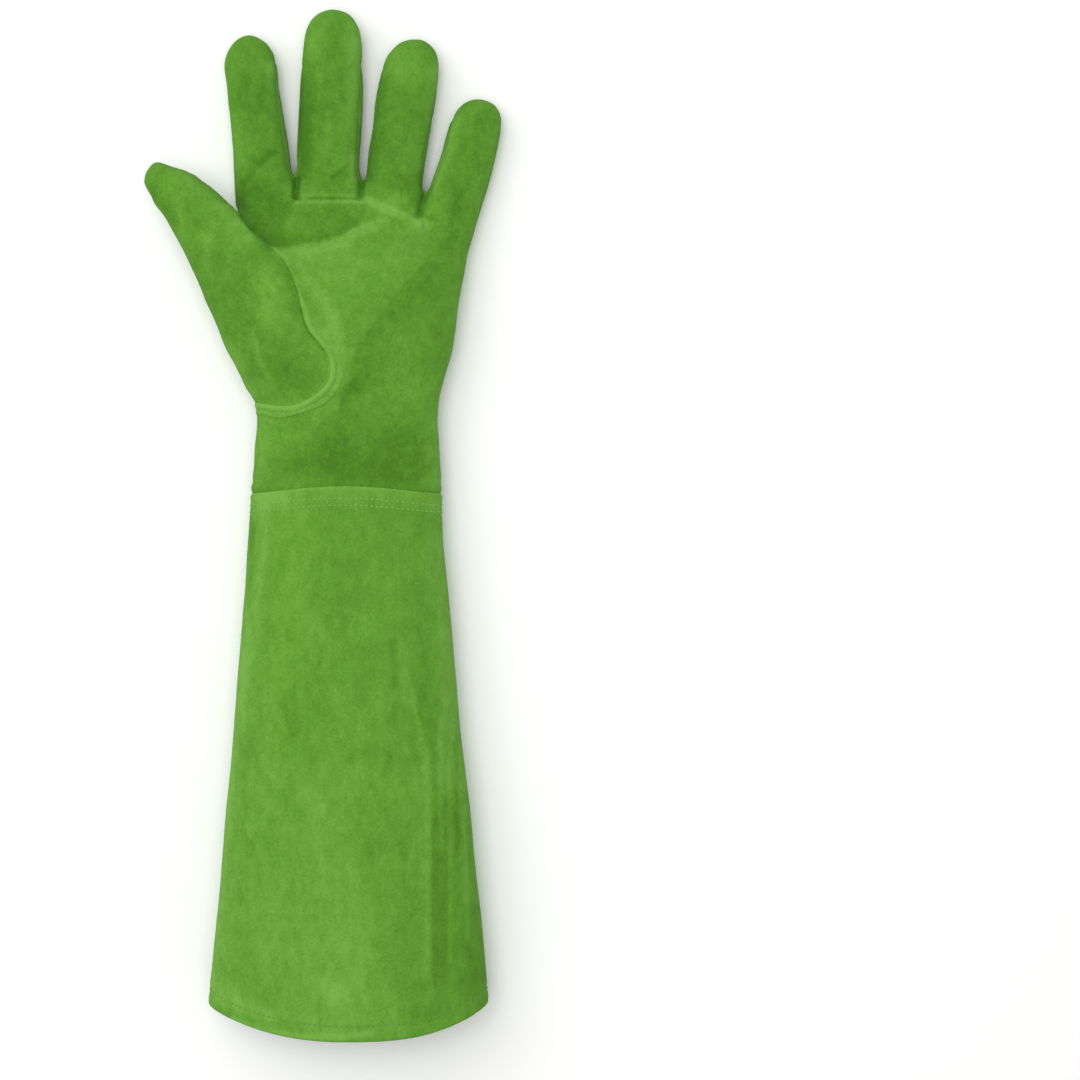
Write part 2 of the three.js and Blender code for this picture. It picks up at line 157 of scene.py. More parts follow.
# Soft folds of the palm side. Each row: how far the leather sinks (below zero it rises), how far that
# reaches on the left and on the right hand of the line as it runs, or one reach for both, and the line
PALM_FOLDS = [
    (2.4, 12, 3, [(-20, 128.8), (-6, 130.6), (6, 133), (16, 138.6), (26, 142.6), (36, 145)]),
    (2.0, 9, 0.4, [(-43, 154), (-40, 147.5), (-35, 140), (-29.5, 134.5), (-22.5, 129.5)]),
    (-2.4, 0.4, 7, [(-43, 152), (-41, 146.5), (-36, 139), (-30.5, 133.5), (-23.5, 128.5)]),
    (0.9, 9, 3, [(40, 112), (29, 97), (20, 85), (13, 72)]),
    (0.7, 6, [(12, 60), (34, 67), (54, 72)]),
    (0.9, 8, [(4, 36), (24, 33), (44, 35)]),
    (0.6, 3, [(-36, 160), (-24, 170), (-18, 175)]),
    (0.6, 3, 4, [(-36, 147), (-26, 152), (-15, 153)]),
    (-0.5, 2, [(-16, 138), (-12, 148)]),
    (-0.4, 1.5, [(4, 164), (10, 169)]),
    (-0.35, 1.4, [(-12, 149.8), (4, 150), (19, 150), (30, 145), (41, 141.4), (47, 140.8)]),
    (-0.35, 1.4, [(-12, 153.4), (4, 153.5), (18, 153.2), (30, 148.8), (38, 145)]),
    (-0.9, 3.5, [(33, 153), (37, 153)]),
    (-0.7, 3, [(44, 139), (47, 139.5)]),
    (0.7, 5, 6, [(47, 142), (52, 128), (50, 112)]),
    (0.6, 6, [(-40, 118), (-30, 108), (-26, 92)]),
    (-0.7, 7, [(-23, 114), (-21, 98)]),
    (0.6, 6, [(-16, 72), (-6, 68)]),
    (-0.4, 1.8, [(-31, 90), (-28, 76), (-22, 64)]),
    (0.4, 2, [(-60, 140), (-56, 128), (-50, 112)]),
]

# Sides of the glove that stand fuller than their solids. Each row: by how much, how far round, and the line
FULLER_SIDES = [
    (2.3, 6, [(-36, 67), (-35.5, 65.5)]),
    (0.8, 14, [(-53, 101), (-46, 88)]),
    (0.9, 3.6, [(-32, 18), (-32.5, 22)]),
    (0.7, 3.6, [(53, 18), (53.5, 22)]),
    (1.3, 2.2, [(-32, 15.8), (-32, 17.4)]),
    (0.9, 2, [(53, 15.8), (53, 17)]),
    (1.1, 5, [(-45, 216), (-41, 223.5), (-36, 226)]),
    (0.9, 4.5, [(-22.5, 212), (-24, 218), (-27, 222.5)]),
    (1.5, 3.5, [(-74.5, 166.5), (-78, 163.5)]),
    (0.6, 5, [(-47, 155), (-42, 150)]),
    (1.2, 5, [(-81, 156.5), (-77.5, 149.5)]),
    (0.9, 2.6, [(-75, 167.6), (-71.5, 167.2)]),
    (-0.9, 3, [(-65.5, 166.2), (-62, 165)]),
    (0.4, 6, [(-10, 170), (-9, 215)]),
    (0.5, 6, [(22, 165), (28, 205)]),
    (0.4, 5, [(53, 160), (60, 186)]),
    (1.6, 6, [(46, 223), (50, 218)]),
    (1.1, 3, [(47.5, 225), (50.5, 221.5)]),
    (0.5, 3, [(36, 225), (44, 226)]),
    (0.9, 4, [(79, 196), (81.5, 192)]),
    (0.7, 5, [(12.5, 237.5), (16, 232), (17.8, 224)]),
    (1.9, 4, [(-13, 162), (-12, 162)]),
    (0.8, 4, [(17.5, 160), (18.5, 160)]),
    (0.8, 4, [(46, 154), (47, 154)]),
]

# Fingers that lean a little from their solids. Each row: the shift across and along the hand, how far
# round the line it is whole, and the line
LEANS = [
    (-0.9, 0.2, 13, [(-28, 162), (-31, 185), (-34, 215)]),
    (-0.5, 0.2, 13, [(3, 178), (3, 200), (4, 226)]),
    (-0.5, 0.9, 12, [(34, 174), (38, 195), (41, 213)]),
    (-0.8, 0, 10, [(60, 160), (65, 174)]),
    (0.9, 0, 6, [(72, 192), (74, 196)]),
    (-3.0, 0.3, 4, [(-77, 166), (-78, 163.5)]),
    (0.1, -1.1, 3, [(-68, 167), (-60, 164)]),
]

# The length past a leaning stretch over which the shift fades away
LEAN_FADE = 8

# The elastic across the back of the wrist, which runs 1 mm down the hand for every 8 mm across it: its
# ends, the corners of the zigzag sewn over it, and the gathers that it draws
ELASTIC_LINE = [(-18, 68.9), (42, 61.4)]
ZIGZAG_SWING = 2.8
ZIGZAG_CORNERS = [(x, 66.5 - x / 8 + ZIGZAG_SWING * (-1) ** i) for i, x in enumerate(range(-16, 42, 6))]
ELASTIC_GATHERS = [
    (0.7, 1.3, [(x - 1, 60 - x / 8), (x, 67 - x / 8), (x + 0.6, 74.5 - x / 8)])
    for x in range(-22, 48, 5)
]

# Folds of the back in the same kind of rows: two across the hand, the elastic, the seam and the gathers
BACK_FOLDS = [
    (0.8, 6, 5, [(-30, 128), (-10, 120), (14, 118)]),
    (0.7, 5, [(-33, 116), (-12, 104), (6, 98)]),
    (0.9, 4, [(-26, 70), *ELASTIC_LINE, (48, 60.6)]),
    (0.5, 4.5, 0.4, BACK_SEAM_LINE[1:11]),
    *ELASTIC_GATHERS,
]
# A fold counts up to so many times its reach, has a rounded bottom, and fades over this share at both ends
FOLD_REACHES = 6
FOLD_ROUNDING = 0.8
FOLD_ENDS = 0.2

# The leather's slow unevenness on the hand: height, length of its waves, and a shift that sets them apart
HAND_WAVES = [(0.55, 26, (0, 0, 0)), (0.14, 8, (7, 3, 1))]

# Marks in the colour of the palm side: the nap brushed up and light (above zero) or pressed and dark, and
# painted light and shade besides: painted shade where the thumb shades the base of the index finger, in the
# slots between the fingers, along the middle and ring fingers' left sides and above the palm's crease, and
# painted highlights along the index, middle and ring fingers' right sides and just below the crease. Each
# row: how strong the mark is, its reach on the left and on the right hand of its line, or one for both, and
# the line
PALM_NAP_AND_PAINTED_LIGHT = [
    # Painted shadow of the thumb over the base of the index finger, and painted shade round its crotch
    (-0.9, 8, 0.6, [(-40.5, 148.5), (-35.3, 140.3), (-29.8, 134.8), (-22.8, 129.6)]),
    (-0.6, 7, [(-36, 157), (-26, 154), (-18, 146)]),
    (-0.2, 5, [(-30, 171), (-25, 174)]),
    (-0.55, 1.8, [(-29.5, 168), (-26, 171.5), (-23, 174)]),
    (-0.5, 1.8, [(-37, 159), (-33, 163.5)]),
    (-0.3, 6, [(-36, 204), (-30, 200)]),
    (-0.35, 12, [(-27, 150), (-30, 180), (-34, 218)]),
    (0.3, 3, [(-39.5, 168), (-41, 190)]),
    # Painted shade along the middle finger's left side, beside the slot
    (-0.6, 3, 5, [(-9.7, 169), (-9.8, 178), (-9.8, 192)]),
    (-0.6, 3, 5, [(-9.5, 163), (-9.8, 184), (-9.5, 208)]),
    (-0.35, 11, [(3, 158), (3, 205)]),
    (0.4, 3, [(11, 186), (13, 205), (14, 232)]),
    (-0.4, 1.2, [(17, 166), (17, 186)]),
    # Painted highlights along the middle and index fingers' right sides
    (0.85, 3, [(16.5, 168), (17, 190), (17, 224)]),
    (1.2, 3.5, [(-14, 168), (-15.5, 178), (-19.5, 198), (-23, 214)]),
    (0.3, 2, [(2, 176), (3, 192)]),
    (0.3, 1.5, [(4, 164), (10, 169)]),
    (-0.4, 1, [(5, 162), (10.5, 167)]),
    (0.3, 4, [(-5, 226), (-5, 222)]),
    (-0.3, 5, [(3, 222), (6, 232)]),
    # Painted shade along the ring finger's left side
    (-0.5, 3, 4.5, [(22, 162), (25, 180), (28, 206)]),
    (-0.5, 11, [(34, 160), (38, 198)]),
    (0.25, 8, [(38, 215), (46, 207)]),
    (-0.2, 2.5, 2, [(46, 160), (49, 178), (52, 200)]),
    (0.3, 2.5, [(37, 165), (42, 180)]),
    # Painted highlight along the ring finger's right side
    (0.8, 3.5, [(46, 168), (48, 178), (52.5, 202), (53, 212)]),
    (-0.65, 5, [(57, 128), (60, 136), (63, 152)]),
    (-0.5, 9, [(62, 160), (70, 188)]),
    (0.3, 2.5, [(52, 156), (56, 170)]),
    (0.6, 3, 3.5, [(51.5, 160), (56.5, 172), (62.5, 190)]),
    (-0.3, 4, [(73, 186), (76, 190)]),
    (0.4, 3, [(68.5, 184), (69.5, 193)]),
    # Painted shade above the palm's crease, and painted light just below it
    (-0.25, 6, [(-12, 141), (4, 143), (16, 146)]),
    (-0.6, 4, 1.2, [(-20, 130.5), (-6, 132), (6, 134.6), (16, 139.6)]),
    (0.8, 1.5, 5, [(-18, 127), (-6, 128), (6, 131), (15, 136.5), (26, 141.5)]),
    (0.4, 2, [(-16, 139), (-12, 148)]),
    (0.8, 1.2, [(-12, 150.2), (4, 150.5), (19, 150.5), (30, 145.6), (41, 142.2), (47, 141.4)]),
    (0.5, 0.7, [(19, 151.6), (30, 147.6), (41.4, 143.6)]),
    # Painted shade in the slots between the fingers
    (-0.6, 1.3, [(-12.3, 152.5), (-12.3, 163)]),
    (-0.5, 1.4, [(18.2, 153), (18.2, 163)]),
    (0.8, 2.5, [(13.5, 162), (14, 171)]),
    (-0.8, 0.5, [(-7, 151.9), (0, 152), (16, 151.8)]),
    (-0.9, 0.6, [(-8.6, 100), (-6.6, 91.5), (-2, 85), (1.4, 80.6)]),
    (0.4, 1.2, [(-12, 153.5), (2, 153.6), (18, 153.2)]),
    (0.6, 1.2, [(20, 152.6), (30, 148.6), (38, 144.6)]),
    (0.8, 3.5, [(33, 151), (36, 152)]),
    (0.7, 3.5, [(44, 139), (47, 139.5)]),
    (-0.4, 2.5, [(42, 149.5), (43.5, 152)]),
    (-0.6, 1.5, [(49, 142.8), (50, 142.8)]),
    (0.15, 12, [(5, 118), (20, 122), (34, 128)]),
    (-0.5, 14, 1.5, [(40, 112), (29, 97), (20, 85), (13, 72), (10, 60)]),
    (0.4, 2.5, [(14, 80), (13.5, 73), (8.5, 63)]),
    (-0.3, 5, [(52, 120), (55, 95), (50, 75)]),
    (-0.7, 10, [(8, 38), (24, 34), (36, 36)]),
    (-0.45, 6, [(12, 22), (38, 21)]),
    (-0.4, 9, [(-8, 30), (6, 30)]),
    (-0.3, 6, [(-26, 26), (46, 26)]),
    (-0.5, 4, [(12, 62), (16, 64)]),
    (0.35, 3, [(16, 56), (16, 55)]),
    (0.35, 4, [(-28, 22), (-27, 48)]),
    (0.4, 4, [(53, 20), (53, 50)]),
    (-0.15, 9, [(-70, 156), (-58, 140), (-46, 112)]),
    (0.4, 3, 6, [(-62, 162), (-54, 155.5), (-47, 149), (-40, 141), (-33, 133)]),
    (-0.2, 14, [(-36, 110), (-20, 80)]),
    (-0.4, 2.5, [(-78, 156), (-68, 138)]),
    (-0.35, 4, [(-60, 122), (-52, 104)]),
    (0.5, 6, [(-24, 112), (-22, 98)]),
    (0.4, 2.5, [(-52, 133), (-52, 122)]),
    (-0.55, 7, [(-16, 70), (-6, 66)]),
    (0.4, 1.6, [(-31, 90), (-28, 76), (-22, 64)]),
    (0.45, 3, [(-43, 82), (-33, 62)]),
    (-0.25, 4, [(-34, 98), (-28, 86)]),
    (-0.3, 2.4, [(-18, 122), (-14, 114), (-11, 106), (-9, 100)]),
    (0.4, 0.8, [(-16.5, 121), (-10.2, 107), (-8.5, 100)]),
    (-0.5, 3, [(-13, 118), (-8.5, 109), (-4, 101), (-0.5, 94)]),
    (0.6, 0.8, [(-9.2, 104), (-6.4, 95.7), (-3.4, 88.5), (0.9, 82.5)]),
    (0.6, 0.8, [(3.4, 77), (4.5, 72.7), (2.5, 64.9), (-6.3, 58), (-16.1, 55.1), (-30.4, 57)]),
]
# The same kind of marks on the back: the light band along its seam, a painted highlight on the seam's
# raised band, and the pressed rows at the elastic
BACK_NAP_AND_PAINTED_LIGHT = [
    (0.8, 0.3, 4.5, BACK_SEAM_LINE[1:12]),
    (-0.8, 0.9, BACK_SEAM_LINE[1:12]),
    (-0.4, 5, ELASTIC_LINE),
]
# A mark counts up to so many times its reach
NAP_REACHES = 2.5

# The skin of the hand: the middle of the sleeve's open end, across and above the floor; the cap that closes
# it while the skin is shaped, how far inside the end the cap lies and how far it reaches past the leather;
# how much of the end is cut off again with the cap; and how far facets are rounded off
SLEEVE_MIDDLE = (10.8, 18)
CAP_SIDES = 64
CAP_INSIDE = 0.5
CAP_OVERLAP = 0.8
SLEEVE_TRIM = 1.6
SKIN_SMOOTHING = 3.6
# No edge this near to the sleeve's end is sewn
UNSEWN_END = 3
# Leather belongs to an earlier panel from this far inside its seam
TAKEN_INSIDE = 0.2
# A corner within this share of an edge moves onto the cut, and the edge is not split
NEAR_CORNER = 0.25
# Distances to an outline are worked out up to this far away
OUTLINE_REACH = 5
# The dip of the leather between two fingers
NOTCH_DEPTH = 5
NOTCH_WIDTH = 1.5
# Rounds of evening out along the thumb's rolled edge
THUMB_EDGE_ROUNDS = 14
# How far a sewn edge's roll reaches into its panel, and the length of the thread's puckers along it
ROLL_REACH = 14
PUCKER_LENGTH = 3.4


def plan(points):
    """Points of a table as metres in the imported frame."""
    return (np.array(points, float) + TABLE_SHIFT) * MM


def along_hand(distance):
    """A table's distance along the hand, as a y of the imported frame."""
    return plan([(0, distance)])[0, 1]


def curve_through(rows, pieces):
    """A smooth curve through rows of numbers, with so many pieces from each row to the next."""
    padded = np.vstack([2 * rows[0] - rows[1], rows, 2 * rows[-1] - rows[-2]])
    shares = np.linspace(0, 1, pieces, endpoint=False)[:, None]
    made = []
    for before, start, end, after in zip(padded, padded[1:], padded[2:], padded[3:]):
        slope = (end - before) * shares
        bend = (2 * before - 5 * start + 4 * end - after) * shares**2
        twist = (3 * start - before - 3 * end + after) * shares**3
        made.append(0.5 * (2 * start + slope + bend + twist))
    return np.vstack([*made, rows[-1:]])


def smooth_line(points):
    """A smooth curve through the points of a table, as closely spaced points in metres."""
    return curve_through(plan(points), 6)


def line_distance(places, line, within=60 * MM):
    """Distance in plan to a line, as far as it matters and positive on its left, and the share along it."""
    places = places[:, :2]
    x, y = places.T
    best = np.full(len(places), within)
    side = np.ones(len(places))
    share = np.zeros(len(places))
    lengths = np.linalg.norm(np.diff(line, axis=0), axis=1)
    travelled = np.concatenate([[0], np.cumsum(lengths)])
    for i, (start, end) in enumerate(zip(line, line[1:])):
        low, high = np.minimum(start, end) - within, np.maximum(start, end) + within
        near = np.flatnonzero((x > low[0]) & (x < high[0]) & (y > low[1]) & (y < high[1]))
        along = end - start
        from_start = places[near] - start
        part = np.clip(from_start @ along / (along @ along), 0, 1)
        away = from_start - part[:, None] * along
        distance = np.hypot(away[:, 0], away[:, 1])
        nearer = distance < best[near] - 1e-9
        chosen = near[nearer]
        best[chosen] = distance[nearer]
        cross = along[0] * from_start[nearer, 1] - along[1] * from_start[nearer, 0]
        side[chosen] = np.where(cross < 0, -1, 1)
        share[chosen] = (travelled[i] + part[nearer] * lengths[i]) / travelled[-1]
    return best * side, share


def inside(places, outline):
    """Which places lie inside a closed outline in plan."""
    found = np.zeros(len(places), bool)
    for (x0, y0), (x1, y1) in zip(outline, np.roll(outline, -1, axis=0)):
        spans = (y0 > places[:, 1]) != (y1 > places[:, 1])
        with np.errstate(divide="ignore", invalid="ignore"):
            crossing = (x1 - x0) * (places[:, 1] - y0) / (y1 - y0) + x0
        found ^= spans & (places[:, 0] < crossing)
    return found


def outline_distance(places, outline):
    """Distance to a closed outline in plan, below zero inside it."""
    closed = np.vstack([outline, outline[:1]])
    distance = np.abs(line_distance(places, closed, OUTLINE_REACH * MM)[0])
    return np.where(inside(places, outline), -distance, distance)


def smoothstep(low, high, value):
    """Nothing at the low value, one at the high one, and a soft rise between them."""
    share = np.clip((value - low) / (high - low), 0, 1)
    return share * share * (3 - 2 * share)


def hump(value, middle, width):
    """A soft rise to one where a value passes its middle, gone at about twice its width."""
    return np.exp(-(((value - middle) / width) ** 2))


THUMB_OUTLINE = np.vstack(
    [smooth_line(THUMB_EDGE_LINE)[:-1], smooth_line(THUMB_SEAM_LINE), plan(THUMB_OUTSIDE)]
)
FRONT_OUTLINE = np.vstack([smooth_line(CROSS_SEAM_LINE), plan(FINGERS_OUTSIDE)])
BACK_OUTLINE = np.vstack([smooth_line(BACK_SEAM_LINE), plan(BACK_OUTSIDE)])
WELT_OUTLINE = np.vstack(
    [smooth_line(THUMB_SEAM_LINE), plan(WELT_OUTSIDE), smooth_line(WELT_EDGE_LINE)[::-1]]
)


def middle_of(places, line):
    """Where a finger's middle line runs at each place's distance along the hand."""
    points = plan(line)
    return np.interp(places[:, 1], points[:, 1], points[:, 0])


def fourchette_field(places, row):
    """Below zero inside the pointed strip between two fingers."""
    start, crotch, end = (along_hand(row[key]) for key in ("start", "crotch", "end"))
    x, y, z = places.T
    opening = (y - start) / (crotch - start)
    closing = (end - y) / (FOURCHETTE_TAPER * MM)
    share = np.clip(np.minimum(opening, closing), 0, 1)
    half = (FOURCHETTE_HEIGHT * np.sqrt(share) + FOURCHETTE_TIP_HEIGHT) / 2 * MM
    off_middle = np.abs(z - FOURCHETTE_MIDDLE * MM) - half
    off_sides = np.maximum(middle_of(places, row["left"]) - x, x - middle_of(places, row["right"]))
    off_ends = np.maximum(start - y, y - end)
    return np.maximum.reduce([off_middle, off_sides, off_ends])


def region_field(name, places):
    """Below zero inside the region that a panel takes, and about the distance from its seam near it."""
    height = places[:, 2]
    if name == "thumb":
        return np.maximum(outline_distance(places, THUMB_OUTLINE), THUMB_SEAM * MM - height)
    if name in FOURCHETTES:
        return fourchette_field(places, FOURCHETTES[name])
    if name == "middle_ring_front":
        return np.maximum(outline_distance(places, FRONT_OUTLINE), SIDE_SEAM * MM - height)
    return np.maximum(outline_distance(places, BACK_OUTLINE), height - SIDE_SEAM * MM)


def region_cut(name, taken):
    """A panel's field that crosses zero only in leather that no earlier panel has taken."""

    def field(places):
        values = region_field(name, places)
        for earlier in taken:
            is_taken = region_field(earlier, places) < -TAKEN_INSIDE * MM
            values = np.where(is_taken, np.abs(values) + 1e-6, values)
        return values

    return field


def welt_field(places):
    """Below zero where the welt lies, on the palm's upper face and round the side of the wrist."""
    return np.maximum(outline_distance(places, WELT_OUTLINE), WELT_LOWEST * MM - places[:, 2])


# The order in which the regions take their leather, and the palm keeps the rest
REGIONS = [
    "thumb",
    "fourchette_index_middle",
    "fourchette_middle_ring",
    "fourchette_ring_little",
    "middle_ring_front",
    "back_panel",
]


def numbers_of(rows, key, width, kind=float):
    """One property of a mesh's rows, with so many numbers in each row."""
    values = np.empty(len(rows) * width, kind)
    rows.foreach_get(key, values)
    return values.reshape(-1, width)


def points_of(mesh):
    return numbers_of(mesh.vertices, "co", 3)


def normals_of(mesh):
    return numbers_of(mesh.vertex_normals, "vector", 3)


def edges_of(mesh):
    return numbers_of(mesh.edges, "vertices", 2, np.int32)


def corner_places(bm):
    return np.array([vert.co for vert in bm.verts])


def corner_normals(bm):
    """The corners' normals, as they were last updated."""
    return np.array([vert.normal for vert in bm.verts])


def set_points(mesh, places):
    mesh.vertices.foreach_set("co", places.astype(np.float32).ravel())
    mesh.update()


def relaxed(values, edges, rounds, free=None):
    """Draws each value towards the mean of its neighbours' values, round after round."""
    size = len(values)
    count = np.bincount(edges.ravel(), minlength=size)
    first, second = edges.T
    share = 0.5 if free is None else 0.5 * free[:, None]
    for _ in range(rounds):
        sums = [
            np.bincount(first, column[second], size) + np.bincount(second, column[first], size)
            for column in values.T
        ]
        values = values + share * (np.stack(sums, axis=1) / count[:, None] - values)
    return values


def smoothed_skin(mesh, reach):
    """Rounds off facets up to the reach, and then lets the form out to its size again."""
    places = points_of(mesh)
    edges = edges_of(mesh)
    spacing = np.mean(np.linalg.norm(places[edges[:, 0]] - places[edges[:, 1]], axis=1))
    rounds = int((2 * reach / spacing) ** 2)
    soft = relaxed(places, edges, rounds)
    set_points(mesh, soft)
    normals = normals_of(mesh)
    shrunk = np.sum((places - soft) * normals, axis=1, keepdims=True)
    set_points(mesh, soft + normals * relaxed(shrunk, edges, rounds))


def scene_object(name, mesh):
    made = bpy.data.objects.new(name, mesh)
    bpy.context.scene.collection.objects.link(made)
    return made


def with_modifiers(made):
    """The object's mesh with its modifiers applied, and the object itself removed."""
    depsgraph = bpy.context.evaluated_depsgraph_get()
    mesh = bpy.data.meshes.new_from_object(made.evaluated_get(depsgraph))
    bpy.data.objects.remove(made)
    return mesh


def hand_skin(spacing):
    """The outer skin of the whole hand, open at the sleeve, in even quads."""
    bm = bmesh.new()
    for name in HAND_NODES:
        bm.from_mesh(frame["nodes"][name].data)
    bmesh.ops.remove_doubles(bm, verts=bm.verts, dist=SAME_PLACE)
    tree = BVHTree.FromBMesh(bm)
    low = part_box("palm_panel")[0]
    across, above = SLEEVE_MIDDLE
    middle = Vector((plan([(across, 0)])[0, 0], low.y + CAP_INSIDE * MM, above * MM))
    cap = bmesh.ops.create_circle(bm, cap_ends=True, segments=CAP_SIDES, radius=0.01)["verts"]
    for vert in cap:
        away = Vector((vert.co.x, 0, vert.co.y)).normalized()
        vert.co = tree.ray_cast(middle, away)[0] + away * CAP_OVERLAP * MM
    mesh = bpy.data.meshes.new("hand_skin")
    bm.to_mesh(mesh)
    bm.free()
    made = scene_object("hand_skin", mesh)
    remesh = made.modifiers.new("even quads", "REMESH")
    remesh.mode = "VOXEL"
    remesh.voxel_size = spacing
    mesh = with_modifiers(made)
    smoothed_skin(mesh, SKIN_SMOOTHING * MM)
    bm = bmesh.new()
    bm.from_mesh(mesh)
    bmesh.ops.bisect_plane(
        bm,
        geom=bm.verts[:] + bm.edges[:] + bm.faces[:],
        dist=SAME_PLACE,
        plane_co=(0, low.y + SLEEVE_TRIM * MM, 0),
        plane_no=(0, -1, 0),
        clear_outer=True,
    )
    return bm


def cut_along_field(bm, field):
    """Cuts the skin where a field passes through zero, and moves corners that lie near onto the cut."""
    values = field(corner_places(bm))
    bm.verts.index_update()
    bm.edges.ensure_lookup_table()
    ends = np.array([(edge.verts[0].index, edge.verts[1].index) for edge in bm.edges])
    crossing = values[ends[:, 0]] * values[ends[:, 1]] < 0
    on_cut = set()
    split = []
    moved = {}
    for edge in (bm.edges[i] for i in np.flatnonzero(crossing)):
        start, end = edge.verts
        share = values[start.index] / (values[start.index] - values[end.index])
        place = start.co.lerp(end.co, share)
        if share < NEAR_CORNER:
            moved.setdefault(start, place)
        elif share > 1 - NEAR_CORNER:
            moved.setdefault(end, place)
        else:
            split.append((edge, start, end, share))
    for edge, start, end, share in split:
        if start in moved or end in moved:
            continue
        on_cut.add(bmesh.utils.edge_split(edge, start, share)[1])
    for vert, place in moved.items():
        vert.co = place
        on_cut.add(vert)
    bmesh.ops.connect_verts(bm, verts=list(on_cut))


def fold_depth(places, normals, folds, side):
    """How far the folds of one side sink each place, in millimetres."""
    depth = np.zeros(len(places))
    for sink, *reaches, line in folds:
        distance, share = line_distance(places, smooth_line(line), FOLD_REACHES * max(reaches) * MM)
        reach = np.where(distance > 0, reaches[0], reaches[-1]) * MM
        away = np.hypot(distance, FOLD_ROUNDING * MM) - FOLD_ROUNDING * MM
        ends = smoothstep(0, FOLD_ENDS, share) * smoothstep(0, FOLD_ENDS, 1 - share)
        depth += sink * np.exp(-away / reach) * ends
    return depth * smoothstep(0, 0.5, normals[:, 2] * side)


def tone_and_painted_light_of(places, normals, marks, side=1):
    """How far each place of one side is lighter, above zero, or darker: the nap brushed up or pressed down,
    and painted light and shade.
    """
    nap = np.zeros(len(places))
    for strength, *reaches, line in marks:
        distance = line_distance(places, smooth_line(line), NAP_REACHES * max(reaches) * MM)[0]
        nap += strength * hump(distance, 0, np.where(distance > 0, reaches[0], reaches[-1]) * MM)
    return nap * smoothstep(-0.2, 0.3, normals[:, 2] * side)


def unevenness(places, waves):
    """The leather's slow rise and fall, in millimetres."""
    rise = np.zeros(len(places))
    for height, length, shift in waves:
        shift = Vector(shift)
        rise += height * np.array([noise.noise(Vector(place) / (length * MM) + shift) for place in places])
    return rise


def add_folds(mesh):
    """Sinks the soft folds into the skin, and gives the leather its slow unevenness."""
    places = points_of(mesh)
    normals = normals_of(mesh)
    height = -fold_depth(places, normals, PALM_FOLDS, 1) - fold_depth(places, normals, BACK_FOLDS, -1)
    # The leather is even where it lies flat on the floor
    height += unevenness(places, HAND_WAVES) * smoothstep(0.5 * MM, 6 * MM, places[:, 2])
    upright = 1 - normals[:, 2] ** 2
    for rise, reach, line in FULLER_SIDES:
        distance = line_distance(places, smooth_line(line), 3 * reach * MM)[0]
        height += rise * hump(distance, 0, reach * MM) * upright
    places = places + normals * height[:, None] * MM
    for across, along, reach, line in LEANS:
        distance = np.abs(line_distance(places, smooth_line(line), (reach + LEAN_FADE + 1) * MM)[0])
        share = smoothstep((reach + LEAN_FADE) * MM, reach * MM, distance)[:, None]
        places[:, :2] += share * np.array([across, along]) * MM
    places[:, 2] -= notch_depth(places)
    # The thumb's rolled edge is evened out, as it turns sharper there than the skin's faces can follow
    from_edge = np.abs(line_distance(places, smooth_line([(-52, 160), *THUMB_EDGE_LINE]), 8 * MM)[0])
    free = smoothstep(7 * MM, 3 * MM, from_edge)
    places = relaxed(places, edges_of(mesh), THUMB_EDGE_ROUNDS, free)
    places[:, 2] = np.maximum(places[:, 2], 0)
    set_points(mesh, places)


def notch_depth(places):
    """How far the leather dives between two fingers, from where they part down to the seam below."""
    x, y, z = places.T
    depth = np.zeros(len(places))
    for row in FOURCHETTES.values():
        start, crotch = along_hand(row["start"]), along_hand(row["crotch"])
        middle = (middle_of(places, row["left"]) + middle_of(places, row["right"])) / 2
        along = smoothstep(start + 0.5 * MM, start + 4 * MM, y)
        along = along * smoothstep(crotch + 5 * MM, crotch, y)
        above = smoothstep(SIDE_SEAM * MM, (SIDE_SEAM + 6) * MM, z)
        depth += NOTCH_DEPTH * MM * hump(x, middle, NOTCH_WIDTH * MM) * along * above
    return depth


def panel_labels(bm):
    """Which region each face belongs to; the palm's number comes last."""
    centres = np.array([face.calc_center_median() for face in bm.faces])
    labels = np.full(len(centres), len(REGIONS))
    for i, name in reversed(list(enumerate(REGIONS))):
        labels[region_field(name, centres) < 0] = i
    return without_crumbs(bm, labels)


def without_crumbs(bm, labels):
    """Keeps the largest island of each panel, and gives the others to the panel around them."""
    bm.faces.ensure_lookup_table()
    bm.faces.index_update()
    seen = np.zeros(len(labels), bool)
    islands = []
    for face in bm.faces:
        if seen[face.index]:
            continue
        label = labels[face.index]
        island, around, waiting = [], [], [face]
        seen[face.index] = True
        while waiting:
            current = waiting.pop()
            island.append(current.index)
            for edge in current.edges:
                for other in edge.link_faces:
                    if labels[other.index] != label:
                        around.append(labels[other.index])
                    elif not seen[other.index]:
                        seen[other.index] = True
                        waiting.append(other)
        islands.append((label, island, around))
    kept = set()
    for label, island, around in sorted(islands, key=lambda row: -len(row[1])):
        if label in kept and around:
            labels[island] = np.bincount(around).argmax()
        kept.add(label)
    return labels


def panel_mesh(bm, labels, label):
    """A copy of one panel's faces."""
    copy = bm.copy()
    copy.faces.ensure_lookup_table()
    others = [copy.faces[i] for i in np.flatnonzero(labels != label)]
    bmesh.ops.delete(copy, geom=others, context="FACES")
    return copy


def nearest_tree(places):
    """A tree that finds the nearest of some places."""
    tree = KDTree(len(places))
    for i, place in enumerate(places):
        tree.insert(place, i)
    tree.balance()
    return tree


def seam_distances(bm, low_y):
    """Each corner's distance to the panel's sewn edge, leaving out the sleeve's end."""
    sewn = low_y + UNSEWN_END * MM
    tree = nearest_tree([vert.co for vert in bm.verts if vert.is_boundary and vert.co.y > sewn])
    return np.array([tree.find(vert.co)[2] for vert in bm.verts])


